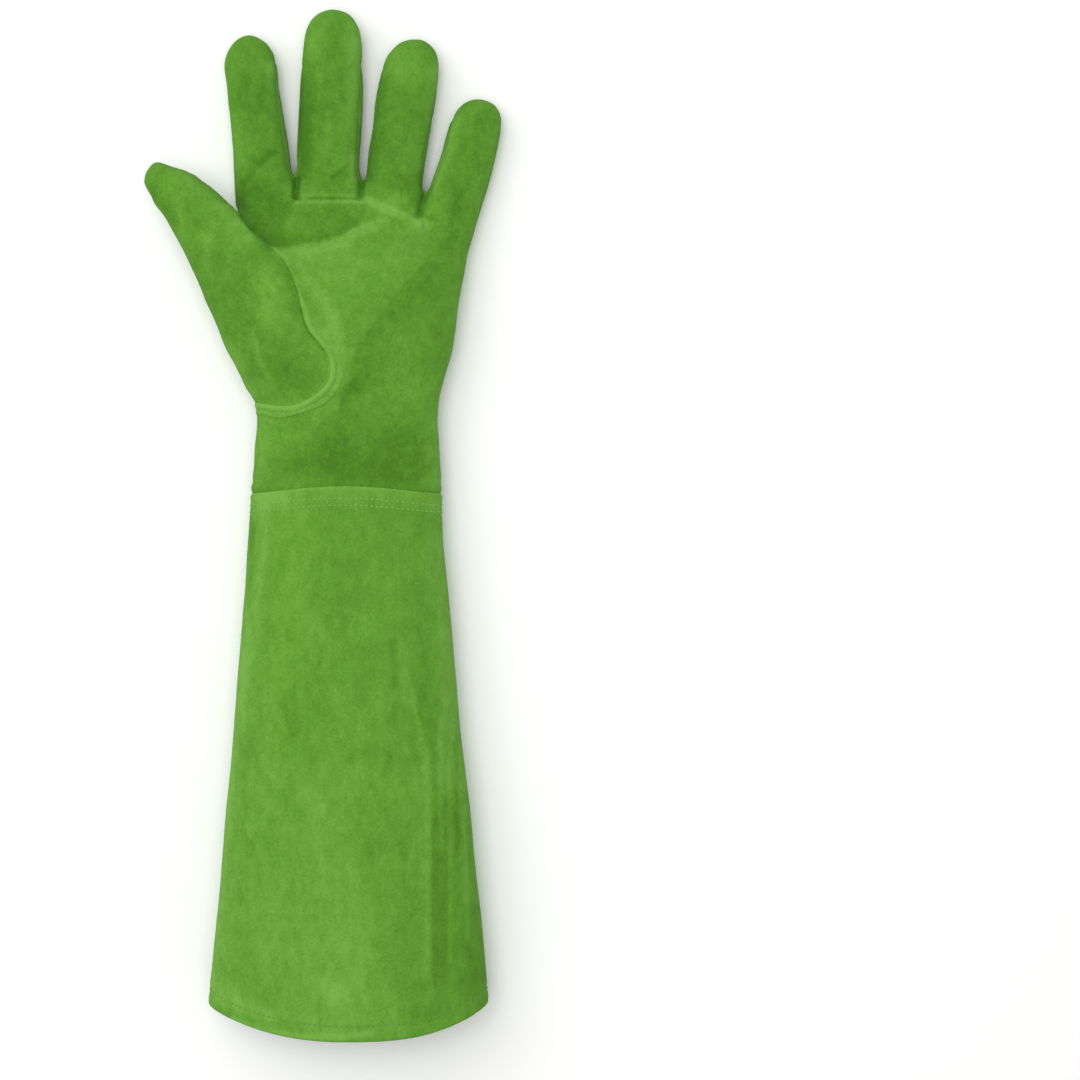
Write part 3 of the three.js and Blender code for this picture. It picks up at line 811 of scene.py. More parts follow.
def seam_strength(places):
    """How tightly each seam is drawn in: lightly where it shows from above, and more down the sides."""
    on_top = smoothstep(18 * MM, 22 * MM, places[:, 2])
    cross = np.abs(line_distance(places, smooth_line(CROSS_SEAM_LINE[2:6]), 8 * MM)[0])
    thumb, along = line_distance(places, smooth_line(THUMB_SEAM_LINE), 8 * MM)
    tight = 0.25 * smoothstep(8 * MM, 4 * MM, cross) * smoothstep(36 * MM, 14 * MM, places[:, 0])
    tight += smoothstep(8 * MM, 4 * MM, np.abs(thumb)) * (0.4 * open_seam(along) - 0.1)
    return 0.35 + 0.5 * on_side(places) + tight * on_top


def on_side(places):
    """One down the glove's sides and underneath, and nothing on its upper face."""
    return smoothstep(15.5 * MM, 12 * MM, places[:, 2])


def open_seam(along):
    """Where the seam of the thumb shows as a groove, against the share of the way along it."""
    return smoothstep(0.2, 0.3, along) * smoothstep(0.62, 0.5, along)


def roll_edges(bm, distance, depth):
    """Turns a panel's sewn edge down into its seam, with the small puckers that the thread draws."""
    bm.normal_update()
    tight = seam_strength(corner_places(bm))
    for vert, away, drawn in zip(bm.verts, distance, tight):
        if away > ROLL_REACH * MM:
            continue
        # The leather swells 3 mm from its seam, dives into it at the edge, and is drawn up in puckers
        pucker = noise.noise(vert.co / (PUCKER_LENGTH * MM))
        swell = 0.28 * drawn * hump(away, 3.2 * MM, 1.8 * MM)
        sink = drawn * depth * hump(away, 0, 0.9 * MM) * (1 + 0.15 * pucker)
        draw = 0.16 * drawn * pucker * math.exp(-away / (3.5 * MM))
        vert.co += vert.normal * (swell + draw - sink) * MM


def as_object(name, bm, nap=None):
    """A named, smoothly shaded object from a mesh, with its nap marks, painted light and shade among them,
    kept on its corners.
    """
    mesh = bpy.data.meshes.new(name)
    for face in bm.faces:
        face.smooth = True
    for edge in bm.edges:
        edge.smooth = not edge.is_boundary
    bm.to_mesh(mesh)
    bm.free()
    if nap is not None:
        layer = mesh.attributes.new("nap", "FLOAT", "POINT")
        layer.data.foreach_set("value", nap.astype(np.float32))
    return scene_object(name, mesh)


def give_wall(made, thickness):
    """The leather's thickness, let in from the outer face."""
    wall = made.modifiers.new("leather thickness", "SOLIDIFY")
    wall.thickness = thickness
    wall.offset = -1
    wall.use_even_offset = False
    wall.use_quality_normals = True


def srgb(code):
    """An sRGB hex colour as linear RGBA."""
    parts = [int(code[i : i + 2], 16) / 255 for i in (0, 2, 4)]
    linear = [c / 12.92 if c <= 0.04045 else ((c + 0.055) / 1.055) ** 2.4 for c in parts]
    return (*linear, 1)


def add_node(tree, kind, settings=None, links=None):
    """Adds a node, sets its properties and sockets, and links its sockets from other nodes' outputs."""
    node = tree.nodes.new(kind)
    for key, value in (settings or {}).items():
        if isinstance(key, int) or key in node.inputs:
            node.inputs[key].default_value = value
        else:
            setattr(node, key, value)
    for key, output in (links or {}).items():
        tree.links.new(output, node.inputs[key])
    return node


def new_material(name):
    """A material whose node tree is still empty."""
    material = bpy.data.materials.new(name)
    material.use_nodes = True
    material.node_tree.nodes.clear()
    return material


def pattern(tree, place, cells, detail, roughness=0.5, distortion=0.0):
    """An uneven pattern between zero and one, with so many cells in a metre."""
    settings = {"Scale": cells, "Detail": detail, "Roughness": roughness, "Distortion": distortion}
    return add_node(tree, "ShaderNodeTexNoise", settings, {"Vector": place}).outputs["Fac"]


def weighed(tree, weight, value, rest):
    """A pattern times its weight, added to the rest."""
    settings = {"operation": "MULTIPLY_ADD", 1: weight}
    return add_node(tree, "ShaderNodeMath", settings, {0: value, 2: rest}).outputs[0]


def spread(tree, value, lowest, highest, low=0.0, high=1.0):
    """A value between a lowest and a highest one, spread from low to high."""
    settings = {"From Min": lowest, "From Max": highest, "To Min": low, "To Max": high}
    return add_node(tree, "ShaderNodeMapRange", settings, {"Value": value}).outputs["Result"]


def finish_material(tree, settings, links):
    """Ends a material with its shader."""
    shader = add_node(tree, "ShaderNodeBsdfPrincipled", settings, links)
    add_node(tree, "ShaderNodeOutputMaterial", {}, {"Surface": shader.outputs["BSDF"]})


# Brushed clouds about 20 mm across, tufts of nap of 4 mm, a grain of 1 mm, as single fibres are too fine
# to show, and the thread's plies
CLOUDS_A_METRE = 50
TUFTS_A_METRE = 250
GRAINS_A_METRE = 900
PLIES_A_METRE = 1600
# How strongly the clouds, the tufts and the grain show
NAP_WEIGHTS = (1.0, 1.4, 1.3)


def suede(name, leather, streaks):
    """Split suede, dyed through and napped: a dull face with light and dark patches of brushed fibres, and
    the painted light and shade carried in the nap marks.
    """
    material = new_material(name)
    tree = material.node_tree
    place = add_node(tree, "ShaderNodeTexCoord").outputs["Object"]
    # The clouds and tufts are so many times longer along the hide than across it
    longer = {"operation": "MULTIPLY", 1: (1, 1 / streaks, 1)}
    drawn_out = add_node(tree, "ShaderNodeVectorMath", longer, {0: place}).outputs["Vector"]
    clouds = pattern(tree, drawn_out, CLOUDS_A_METRE, 3.0, 0.55, 0.3)
    tufts = pattern(tree, drawn_out, TUFTS_A_METRE, 3.0, 0.6)
    grain = pattern(tree, place, GRAINS_A_METRE, 2.0, 0.6)
    # The lie of the nap: the marks kept on the corners, which hold painted light and shade as well as the
    # nap's tone, with the three patterns added to them
    lie = add_node(tree, "ShaderNodeAttribute", {"attribute_name": "nap"}).outputs["Fac"]
    for weight, fibres in zip(NAP_WEIGHTS, (clouds, tufts, grain)):
        lie = weighed(tree, weight, fibres, lie)
    # The plain dyed colour shows at the middle of the three patterns
    plain = sum(NAP_WEIGHTS) / 2
    # Below or above the middle the colour goes towards the pressed or the rubbed colour: the nap's tone,
    # and painted shade and painted light where the marks put them
    pressed = spread(tree, lie, plain, plain - 1)
    brushed = spread(tree, lie, plain, plain + 1)
    flat = {"data_type": "RGBA", 6: leather.dyed, 7: leather.dark}
    darkened = add_node(tree, "ShaderNodeMix", flat, {0: pressed}).outputs[2]
    raised = {"data_type": "RGBA", 7: leather.light}
    napped = add_node(tree, "ShaderNodeMix", raised, {0: brushed, 6: darkened}).outputs[2]
    tufted = {"Strength": 0.5, "Distance": 0.5 * MM}
    tuft_bump = add_node(tree, "ShaderNodeBump", tufted, {"Height": tufts}).outputs["Normal"]
    grained = {"Strength": 0.5, "Distance": 0.3 * MM}
    grain_bump = add_node(tree, "ShaderNodeBump", grained, {"Height": grain, "Normal": tuft_bump})
    dull = {
        "Roughness": 0.94,
        "Specular IOR Level": 0.2,
        "Sheen Weight": 0.12,
        "Sheen Roughness": 0.6,
        "Sheen Tint": leather.light,
    }
    finish_material(tree, dull, {"Base Color": napped, "Normal": grain_bump.outputs["Normal"]})
    return material


def spun_thread(name, colour):
    """Twisted polyester thread, dyed near the leather but a little glossier, so it catches the light."""
    material = new_material(name)
    tree = material.node_tree
    place = add_node(tree, "ShaderNodeTexCoord").outputs["Object"]
    shade = spread(tree, pattern(tree, place, PLIES_A_METRE, 1.0), 0.0, 1.0, 0.85, 1.15)
    dyed = {"operation": "SCALE", "Vector": tuple(colour)[:3]}
    tinted = add_node(tree, "ShaderNodeVectorMath", dyed, {"Scale": shade}).outputs["Vector"]
    twisted = {"Roughness": 0.6, "Specular IOR Level": 0.35, "Sheen Weight": 0.1}
    finish_material(tree, twisted, {"Base Color": tinted})
    return material


def finish_piece(made, material, slot, *nodes):
    """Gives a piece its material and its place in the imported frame."""
    made.data.materials.append(material)
    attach(made, "root")
    if nodes:
        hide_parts(*nodes)


def leather_piece(node, bm, nap, thickness, material):
    """A panel of leather in place of one solid, with its nap and painted light and shade, its wall and its
    place in the frame.
    """
    name = node + "_leather"
    made = as_object(name, bm, nap)
    give_wall(made, thickness)
    finish_piece(made, material, name, node)
    return made


def hand_form(spacing):
    """The hand's whole skin with its folds, made once and shared by the panels and the welt."""
    name = "hand_form"
    if name in bpy.data.meshes:
        return bpy.data.meshes[name]
    bm = hand_skin(spacing)
    mesh = bpy.data.meshes.new(name)
    bm.to_mesh(mesh)
    bm.free()
    add_folds(mesh)
    return mesh


def welt_profile(bm, inner, outer):
    """Raises the welt off the palm, with its roll, channel and thin outer edge, and returns its nap."""
    places = corner_places(bm)
    from_seam, share = line_distance(places, inner)
    from_seam = np.abs(from_seam)
    from_edge, along = line_distance(places, outer)
    from_edge = np.abs(from_edge)

    def seam_row(middle, width, start, full):
        """A row along the inner seam that comes up over part of the way along the welt."""
        return hump(from_seam, middle * MM, width * MM) * smoothstep(start, full, along)

    # The upper half melts into the palm, and the lower half ends in a second sewn ridge
    lower = smoothstep(0.45, 0.7, along)
    fade = (5 - 4.2 * lower) * MM
    edge = -0.35 + 0.5 * lower
    rise = edge + (WELT_HEIGHT - edge) * (1 - np.exp(-from_edge / fade))
    rise += 0.4 * seam_row(WELT_ROLL, 0.9, 0.1, 0.4)
    rise -= 0.35 * seam_row(WELT_CHANNEL, 0.7, 0.3, 0.6)
    rise += 0.4 * lower * hump(from_edge, 1.1 * MM, 0.8 * MM)
    rise -= (0.25 + 0.45 * open_seam(share)) * hump(from_seam, 0, 0.6 * MM)
    rise -= 0.4 * lower * hump(from_edge, 0, 0.4 * MM)
    # Its end melts into the side of the wrist
    low_end = smoothstep((WELT_LOWEST + 4) * MM, (WELT_LOWEST + 0.5) * MM, places[:, 2])
    rise += (-0.5 - rise) * low_end
    bm.normal_update()
    for vert, height in zip(bm.verts, rise):
        vert.co += vert.normal * height * (0.4 + 0.6 * smoothstep(0, 0.6, vert.normal.z)) * MM
    nap = 0.55 + 0.5 * seam_row(WELT_ROLL, 1.0, 0.1, 0.4)
    nap -= 0.35 * seam_row(WELT_CHANNEL, 0.8, 0.3, 0.6)
    nap += 0.25 * lower * hump(from_edge, 1.2 * MM, 1.0 * MM)
    return nap * smoothstep(0.2 * fade, 0.4 * MM + 1.1 * fade, from_edge)


# The cuff's sections from its lapped edge to its hem: along the hand, the two sides, and the top
CUFF_ROWS = [
    (15, -33.6, 55.3, 38.9),
    (-7, -34.9, 56.4, 40.2),
    (-35, -36.6, 59.3, 42.2),
    (-81, -40.8, 62.9, 45.4),
    (-128, -44.2, 68.0, 48.0),
    (-174, -48.4, 72.6, 50.0),
    (-213, -52.2, 76.4, 51.2),
    (-222, -53.1, 77.0, 51.4),
]
CUFF_LENGTH = CUFF_ROWS[0][0] - CUFF_ROWS[-1][0]
# How square the oblong section is: 2 would be an ellipse
ROUNDNESS = 2.35
# How far the section's underside would pass below the floor, were it not laid down on it
CUFF_PRESSED = 5
# How softly the leather bends up from the floor
FLOOR_BEND = 2.5
# The lapped edge is crowned and the hem sags, each by so much and from this far along the hand
LAP_CROWN = 3
LAP_CROWN_START = -20
HEM_SAG = 13.6
HEM_SAG_START = -110
# The hem's fold: its outer radius, a little over one leather, and the depth of the turned-in strip
HEM_ROUND = 1.6
HEM_DEPTH = 8
# Faces across the fold, and as many across the strip
HEM_STEPS = 8
LAP_STITCH_ROWS = (5.6, 8.8)
HEM_STITCH_ROW = 7.4
# Rolls, and channels below zero, near the cuff's two edges: how high, how far from the edge, and how wide
LAP_ROLLS = [(0.3, 1.4, 1.0), (-0.6, 0, 0.45), *((-0.22, row, 0.8) for row in LAP_STITCH_ROWS)]
HEM_ROLLS = [(0.25, 3.6, 2.4), (-0.4, HEM_STITCH_ROW, 0.9), (0.2, 10.5, 2.2)]
CUFF_WAVES = [(0.8, 38, (3, 9, 4)), (0.16, 11, (0, 0, 0))]
CUFF_AROUND = 264
CUFF_ALONG = 150
# The distance from an edge, in millimetres, that stands for nowhere near it
FAR_AWAY = 99.0

# The cuff's upper face, in rows like those of the palm side
CUFF_FOLDS = [
    (-0.8, 5, 12, [(30, -36), (36, -56), (45, -84), (51, -110)]),
    (-1.0, 4.5, 14, [(49, -100), (51.5, -130), (52, -170), (52, -222)]),
    (0.5, 2.2, [(58, -110), (59.5, -150), (59, -215)]),
    (-0.5, 2.4, [(64, -130), (66, -165), (67, -218)]),
    (0.4, 2.6, [(40, -72), (45, -98), (47, -124)]),
    (0.45, 3, [(-34, -120), (-37, -160), (-40, -205)]),
    (-0.4, 2.4, [(-40, -120), (-42, -160), (-46, -210)]),
    (-0.4, 5, 3, [(-27, 9), (-26.5, -8), (-29, -30), (-33, -52), (-35.5, -76), (-37, -92)]),
    (0.6, 4, [(34, -54), (34, -74)]),
    (0.5, 3.5, [(33, -90), (36, -82)]),
]

# Marks in the cuff's colour, in rows like those of the palm side: the nap's tone, and painted light and
# shade besides: painted light down the cuff's left side, which faces the lamp, and painted shade and light
# beside the fold and dents at its right
CUFF_NAP_AND_PAINTED_LIGHT = [
    # Painted light down the cuff's left side
    (0.45, 3.5, [(-27, 9), (-26.5, -8), (-29, -30), (-33, -52), (-35.5, -76), (-37, -92)]),
    (0.35, 4, [(-40, -100), (-44, -140), (-47, -175), (-50, -212)]),
    (0.5, 5, [(-37, -20), (-40, -80), (-45, -130), (-51, -200), (-54, -222)]),
    (-0.4, 1.6, [(-32, 0), (-33.5, -32)]),
    (0.5, 5, [(-28, 12), (-20, 12)]),
    (0.4, 5, [(53, 10), (54, -8)]),
    (0.35, 26, [(-10, -120), (-8, -170), (-6, -215)]),
    (0.3, 12, [(14, -160), (16, -212)]),
    (0.15, 14, [(-12, 0), (-16, -80)]),
    # Painted shade and light beside the fold at the right
    (-0.15, 9, [(46, -20), (50, -60), (54, -100)]),
    (0.55, 5, 7, [(54, -12), (57, -50), (61, -90), (64, -118)]),
    (-0.2, 12, 1.2, [(46, -85), (51.5, -112), (52, -150), (52.5, -205)]),
    (-0.3, 12, 1.2, [(52, -140), (52.5, -205)]),
    (-0.4, 8, [(70, -180), (74, -215)]),
    (0.35, 1, 2.5, [(40, -66), (46, -92), (50, -112), (50, -160), (49.5, -205)]),
    # Painted shade in the two dents
    (-0.5, 2.5, [(34, -54), (34, -74)]),
    (-0.4, 2, [(33, -90), (36, -82)]),
    (-0.15, 16, [(4, 0), (10, -30)]),
    (0.55, 1.3, [(55, -90), (56, -150)]),
    (-0.5, 1.2, [(62, -100), (63, -150)]),
    (0.5, 1.2, [(66, -130), (68, -190)]),
    (0.4, 1, [(59, -110), (60, -200)]),
    (-0.3, 4, [(-16, -78), (-12, -92)]),
    (-0.3, 4, [(-15, -124), (-8, -134)]),
    (-0.4, 2.5, [(14, -103), (14, -107)]),
    (-0.4, 3, [(32, -106), (32, -110)]),
    (-0.4, 2, [(23, -146), (25, -154)]),
    (-0.4, 2, [(37, -144), (39, -152)]),
    (0.8, 1.4, [(-40, -226), (-28, -229.8), (-8, -232.6), (10, -233), (24, -231.4)]),
    (0.4, 4, [(-44, -218), (-22, -224)]),
    (0.4, 5, [(-40, -212), (-36, -217)]),
    (0.4, 5, [(2, -210), (10, -214)]),
    (-0.5, 5, [(42, -224), (56, -222)]),
]


def laid_down(z):
    """Heights in millimetres with nothing below the floor, and a soft bend where the leather leaves it."""
    return (z + np.hypot(z, FLOOR_BEND)) / 2


def bulge(value):
    """A circle's cosine or sine, as that of the cuff's oblong section."""
    return np.sign(value) * np.abs(value) ** (2 / ROUNDNESS)


def cuff_places(turn, share):
    """Places on the cuff's outer face, for turns round it and shares of the way from its lap to its hem."""
    dense = curve_through(np.array(CUFF_ROWS, float), 12)[::-1]
    straight = CUFF_ROWS[0][0] - CUFF_LENGTH * share
    left, right, high = (np.interp(straight, dense[:, 0], dense[:, k]) for k in (1, 2, 3))
    across = bulge(np.cos(turn))
    down = smoothstep(-HEM_SAG_START, -CUFF_ROWS[-1][0], -straight)
    up = smoothstep(LAP_CROWN_START, CUFF_ROWS[0][0], straight)
    # The hem hangs a little fuller at its right
    fullness = np.where(across > 0, np.abs(across) ** 2.8, across**2)
    y = straight + (1 - across**2) ** 1.8 * LAP_CROWN * up - (1 - fullness) * HEM_SAG * down
    x = (left + right) / 2 + (right - left) / 2 * across
    z = (high - CUFF_PRESSED) / 2 + (high + CUFF_PRESSED) / 2 * bulge(np.sin(turn))
    xy = plan(np.stack([x, y], axis=-1))
    return np.concatenate([xy, laid_down(z)[..., None] * MM], axis=-1)


def grid_normals(places):
    """Outward normals of a sheet that runs round the cuff along its first axis."""
    around = np.roll(places, -1, axis=0) - np.roll(places, 1, axis=0)
    along = np.gradient(places, axis=1)
    normals = np.cross(around, along)
    return normals / np.maximum(np.linalg.norm(normals, axis=2, keepdims=True), 1e-12)


def cuff_sheet():
    """The cuff's outer face as a grid, with its distances from the lapped edge and from the hem."""
    turn = np.linspace(0, 2 * math.pi, CUFF_AROUND, endpoint=False)
    share = np.linspace(0, 1 - HEM_ROUND / CUFF_LENGTH, CUFF_ALONG + 1)
    places = cuff_places(*np.meshgrid(turn, share, indexing="ij"))
    steps = np.linalg.norm(np.diff(places, axis=1), axis=2)
    travelled = np.concatenate([np.zeros((CUFF_AROUND, 1)), np.cumsum(steps, axis=1)], axis=1)
    lap = travelled / MM
    hem = (travelled[:, -1:] - travelled + HEM_ROUND * MM) / MM
    normals = grid_normals(places)
    flat = places.reshape(-1, 3)
    height = unevenness(flat, CUFF_WAVES) - fold_depth(flat, normals.reshape(-1, 3), CUFF_FOLDS, 1)
    height = height.reshape(lap.shape)
    for apart, rolls in ((lap, LAP_ROLLS), (hem, HEM_ROLLS)):
        for rise, middle, width in rolls:
            height += rise * hump(apart, middle, width)
    places = places + normals * height[..., None] * MM
    places[..., 2] = np.maximum(places[..., 2], 0)
    return places, lap, hem


def folded_in(places, lap, hem):
    """The cuff's sheet with its hem turned in: a round fold, and the strip that runs back inside."""
    edge = places[:, -1]
    outward = grid_normals(places)[:, -1]
    # The way that the leather runs at its edge, over the last four faces
    along = edge - places[:, -5]
    along /= np.linalg.norm(along, axis=1, keepdims=True)
    outward -= along * np.sum(outward * along, axis=1, keepdims=True)
    outward /= np.linalg.norm(outward, axis=1, keepdims=True)
    axis = edge - outward * HEM_ROUND * MM
    turns = np.linspace(0, math.pi, HEM_STEPS + 1)[1:]
    depths = np.linspace(0, HEM_DEPTH, HEM_STEPS + 1)[1:]
    rows = [axis + (outward * math.cos(turn) + along * math.sin(turn)) * HEM_ROUND * MM for turn in turns]
    rows += [rows[-1] - along * depth * MM for depth in depths]
    added = np.stack(rows, axis=1)
    added[..., 2] = np.maximum(added[..., 2], 0)
    far = np.full(added.shape[:2], FAR_AWAY)
    return np.concatenate([places, added], axis=1), np.hstack([lap, far]), np.hstack([hem, far])


def sheet_row(places, distance, wanted):
    """The line round the cuff at one distance from an edge."""
    found = []
    for column, apart in zip(places, distance):
        order = np.argsort(apart)
        found.append([np.interp(wanted, apart[order], column[order, k]) for k in range(3)])
    return np.array(found)


# A stitch stands off the leather by this share of its thickness, and so many are made at a time for speed
STITCH_LIFT = 0.12
BATCH = 24
# How far above or below the glove the search for its leather starts, in metres
SEARCH_FROM = 0.2


def stitch(bm, place, along, normal, length, thickness):
    """One stitch: a short thread that lies along its row and dips at both ends."""
    side = normal.cross(along).normalized()
    basis = Matrix((along * length / 2, side * thickness / 2, normal * thickness / 2)).transposed()
    lying = Matrix.Translation(place) @ basis.to_4x4() @ Matrix.Rotation(math.pi / 2, 4, "Y")
    bmesh.ops.create_uvsphere(bm, u_segments=6, v_segments=4, radius=1, matrix=lying)


def stitch_row(bm, line, normals, sewing, thickness):
    """Stitches at an even pitch along a line that lies on the leather."""
    steps = np.linalg.norm(np.diff(line, axis=0), axis=1)
    travelled = np.concatenate([[0], np.cumsum(steps)])
    half = sewing.length / 2
    count = int(travelled[-1] / sewing.pitch)
    batch = bmesh.new()
    for i in range(count):
        middle = (i + 0.5) * travelled[-1] / count
        wanted = ((middle, line), (middle - half, line), (middle + half, line), (middle, normals))
        place, before, after, normal = (
            Vector([np.interp(where, travelled, values[:, k]) for k in range(3)])
            for where, values in wanted
        )
        along = (after - before).normalized()
        normal = (normal - along * normal.dot(along)).normalized()
        place += normal * thickness * STITCH_LIFT
        stitch(batch, place, along, normal, sewing.length, thickness)
        if i % BATCH == BATCH - 1 or i == count - 1:
            mesh = bpy.data.meshes.new("batch")
            batch.to_mesh(mesh)
            bm.from_mesh(mesh)
            bpy.data.meshes.remove(mesh)
            batch.clear()
    batch.free()


def laid_on(trees, line, side):
    """A line in plan laid on the leather from above or from below, with the leather's normals there."""
    places, normals = [], []
    for x, y in line:
        start = Vector((x, y, SEARCH_FROM * side))
        hits = [tree.ray_cast(start, Vector((0, 0, -side))) for tree in trees]
        hits = [hit for hit in hits if hit[0] is not None]
        if hits:
            nearest = min(hits, key=lambda hit: hit[3])
            places.append(nearest[0])
            normals.append(nearest[1])
    return np.array(places), np.array(normals)


def offset_line(line, distance):
    """A line in plan moved to its left hand."""
    along = np.gradient(line, axis=0)
    along /= np.linalg.norm(along, axis=1, keepdims=True)
    return line + np.stack([-along[:, 1], along[:, 0]], axis=1) * distance


def tree_of(name):
    """A tree that finds where a line meets a finished piece."""
    depsgraph = bpy.context.evaluated_depsgraph_get()
    return BVHTree.FromObject(bpy.data.objects[name], depsgraph)


def size_setting(name, description, default):
    return bpy.props.FloatProperty(
        name=name, description=description, default=default, subtype="DISTANCE", unit="LENGTH"
    )


def colour_setting(name, description, code):
    return bpy.props.FloatVectorProperty(
        name=name, description=description, default=srgb(code), size=4, subtype="COLOR"
    )


def power_setting(name, description, default):
    return bpy.props.FloatProperty(name=name, description=description, default=default, unit="POWER")


class GloveLeatherSettings(bpy.types.PropertyGroup):
    """The leather of the whole glove."""

    thickness: size_setting("Leather thickness", "Thickness of each panel's leather", 0.0015)
    spacing: size_setting("Skin spacing", "Size of the even faces that the hand is shaped with", 0.0009)
    seam_depth: bpy.props.FloatProperty(
        name="Seam depth",
        description="How deep a panel's edge turns down into its seam, in millimetres",
        default=0.6,
    )
    dyed: colour_setting("Dyed leather", "The leather's main colour", "5a922b")
    # These two colours serve the rubbed and pressed nap, and the painted highlights and painted shade of
    # the marks as well
    light: colour_setting("Rubbed nap", "Colour where the nap is brushed up or rubbed", "72a743")
    dark: colour_setting("Pressed nap", "Colour where the nap lies flat", "44761b")


class GloveStitchSettings(bpy.types.PropertyGroup):
    """The stitches that show on the outside."""

    pitch: size_setting("Stitch pitch", "From one stitch to the next", 0.0024)
    length: size_setting("Stitch length", "Length of thread that shows", 0.0015)
    thickness: size_setting("Thread thickness", "Thickness of the thread", 0.0007)
    colour: colour_setting("Lap thread", "Colour of the thread at the lap and over the elastic", "78af4d")
    quiet_colour: colour_setting("Hem thread", "Colour of the thread at the hem and on the welt", "66993b")


class GloveStudioSettings(bpy.types.PropertyGroup):
    """The floor, the lights and the camera."""

    key_power: power_setting("Key light", "Power of the large light at the upper left", 13.0)
    top_power: power_setting("Top light", "Power of the soft light overhead", 14.0)
    fill: bpy.props.FloatProperty(
        name="Fill", description="Strength of the even light all round", default=0.52
    )
    camera_height: size_setting("Camera height", "Height of the camera above the floor", 1.417)


class GLOVE_OT_hand_panels(bpy.types.Operator):
    """Cut the hand's skin along its seams into leather panels, and turn their edges into the seams"""

    bl_idname = "glove.hand_panels"
    bl_label = "Hand panels"

    def execute(self, context):
        leather = context.scene.glove_leather
        bm = bmesh.new()
        bm.from_mesh(hand_form(leather.spacing))
        for i, name in enumerate(REGIONS):
            cut_along_field(bm, region_cut(name, REGIONS[:i]))
        labels = panel_labels(bm)
        low_y = min(vert.co.y for vert in bm.verts)
        material = suede("green split suede, hand", leather, 1.3)
        for label, name in enumerate([*REGIONS, "palm_panel"]):
            panel = panel_mesh(bm, labels, label)
            distance = seam_distances(panel, low_y)
            panel.normal_update()
            places, normals = corner_places(panel), corner_normals(panel)
            roll_edges(panel, distance, leather.seam_depth)
            # Each panel's nap marks, with the painted light and shade of the palm side and the back
            nap = tone_and_painted_light_of(places, normals, PALM_NAP_AND_PAINTED_LIGHT) + tone_and_painted_light_of(places, normals, BACK_NAP_AND_PAINTED_LIGHT, -1)
            nap -= 0.6 * hump(distance, 0, 0.8 * MM) * on_side(places)
            leather_piece(name, panel, nap, leather.thickness, material)
        bm.free()
        return {"FINISHED"}


class GLOVE_OT_thumb_welt(bpy.types.Operator):
    """Lay the raised welt on the palm along the thumb's seam"""

    bl_idname = "glove.thumb_welt"
    bl_label = "Thumb welt"

    def execute(self, context):
        leather = context.scene.glove_leather
        bm = bmesh.new()
        bm.from_mesh(hand_form(leather.spacing))
        cut_along_field(bm, welt_field)
        bm.normal_update()
        centres = np.array([face.calc_center_median() for face in bm.faces])
        bm.faces.ensure_lookup_table()
        outside = [bm.faces[i] for i in np.flatnonzero(welt_field(centres) > 0)]
        bmesh.ops.delete(bm, geom=outside, context="FACES")
        # The palm side's marks carry on over the welt, their painted light and shade among them
        nap = np.clip(tone_and_painted_light_of(corner_places(bm), corner_normals(bm), PALM_NAP_AND_PAINTED_LIGHT), -0.4, 1)
        inner = smooth_line([*THUMB_SEAM_LINE, WELT_OUTSIDE[0]])
        outer = smooth_line([*WELT_EDGE_LINE, WELT_OUTSIDE[1]])
        nap += welt_profile(bm, inner, outer)
        material = suede("green split suede, welt", leather, 1)
        leather_piece("thumb_welt", bm, nap, leather.thickness * WELT_LEATHER, material)
        return {"FINISHED"}


class GLOVE_OT_cuff(bpy.types.Operator):
    """Shape the gauntlet cuff, with its lapped edge, its folds and its folded hem"""

    bl_idname = "glove.cuff"
    bl_label = "Cuff"

    def execute(self, context):
        leather = context.scene.glove_leather
        places, lap, hem = folded_in(*cuff_sheet())
        around, along = places.shape[0], places.shape[1] - 1
        bm = bmesh.new()
        bmesh.ops.create_grid(bm, x_segments=around, y_segments=along, size=0.5)
        for vert in bm.verts:
            i = round((vert.co.x + 0.5) * around) % around
            j = round((vert.co.y + 0.5) * along)
            vert.co = places[i, j]
        bmesh.ops.remove_doubles(bm, verts=bm.verts, dist=SAME_PLACE)
        bm.normal_update()
        middle = sum((vert.co for vert in bm.verts), Vector()) / len(bm.verts)
        if sum(face.normal.dot(face.calc_center_median() - middle) for face in bm.faces) < 0:
            bmesh.ops.reverse_faces(bm, faces=bm.faces)
        tree = nearest_tree(places.reshape(-1, 3))
        nearest = [tree.find(vert.co)[1] for vert in bm.verts]
        lap_here, hem_here = lap.ravel()[nearest], hem.ravel()[nearest]
        bm.normal_update()
        # The cuff's nap marks, with their painted light and shade
        nap = tone_and_painted_light_of(corner_places(bm), corner_normals(bm), CUFF_NAP_AND_PAINTED_LIGHT)
        # The lap is lighter than the rest, most of all at its cut edge, and so is the hem's fold
        nap += 0.3 * np.exp(-((lap_here / 9) ** 4)) + 0.5 * hump(lap_here, 0, 1.2)
        nap += 0.2 * hump(hem_here, 9, 3)
        material = suede("green split suede, cuff", leather, 2)
        made = leather_piece("cuff", bm, nap, leather.thickness, material)
        rounding = made.modifiers.new("cut edge", "BEVEL")
        rounding.width = 0.3 * MM
        rounding.segments = 2
        rounding.angle_limit = math.radians(60)
        return {"FINISHED"}


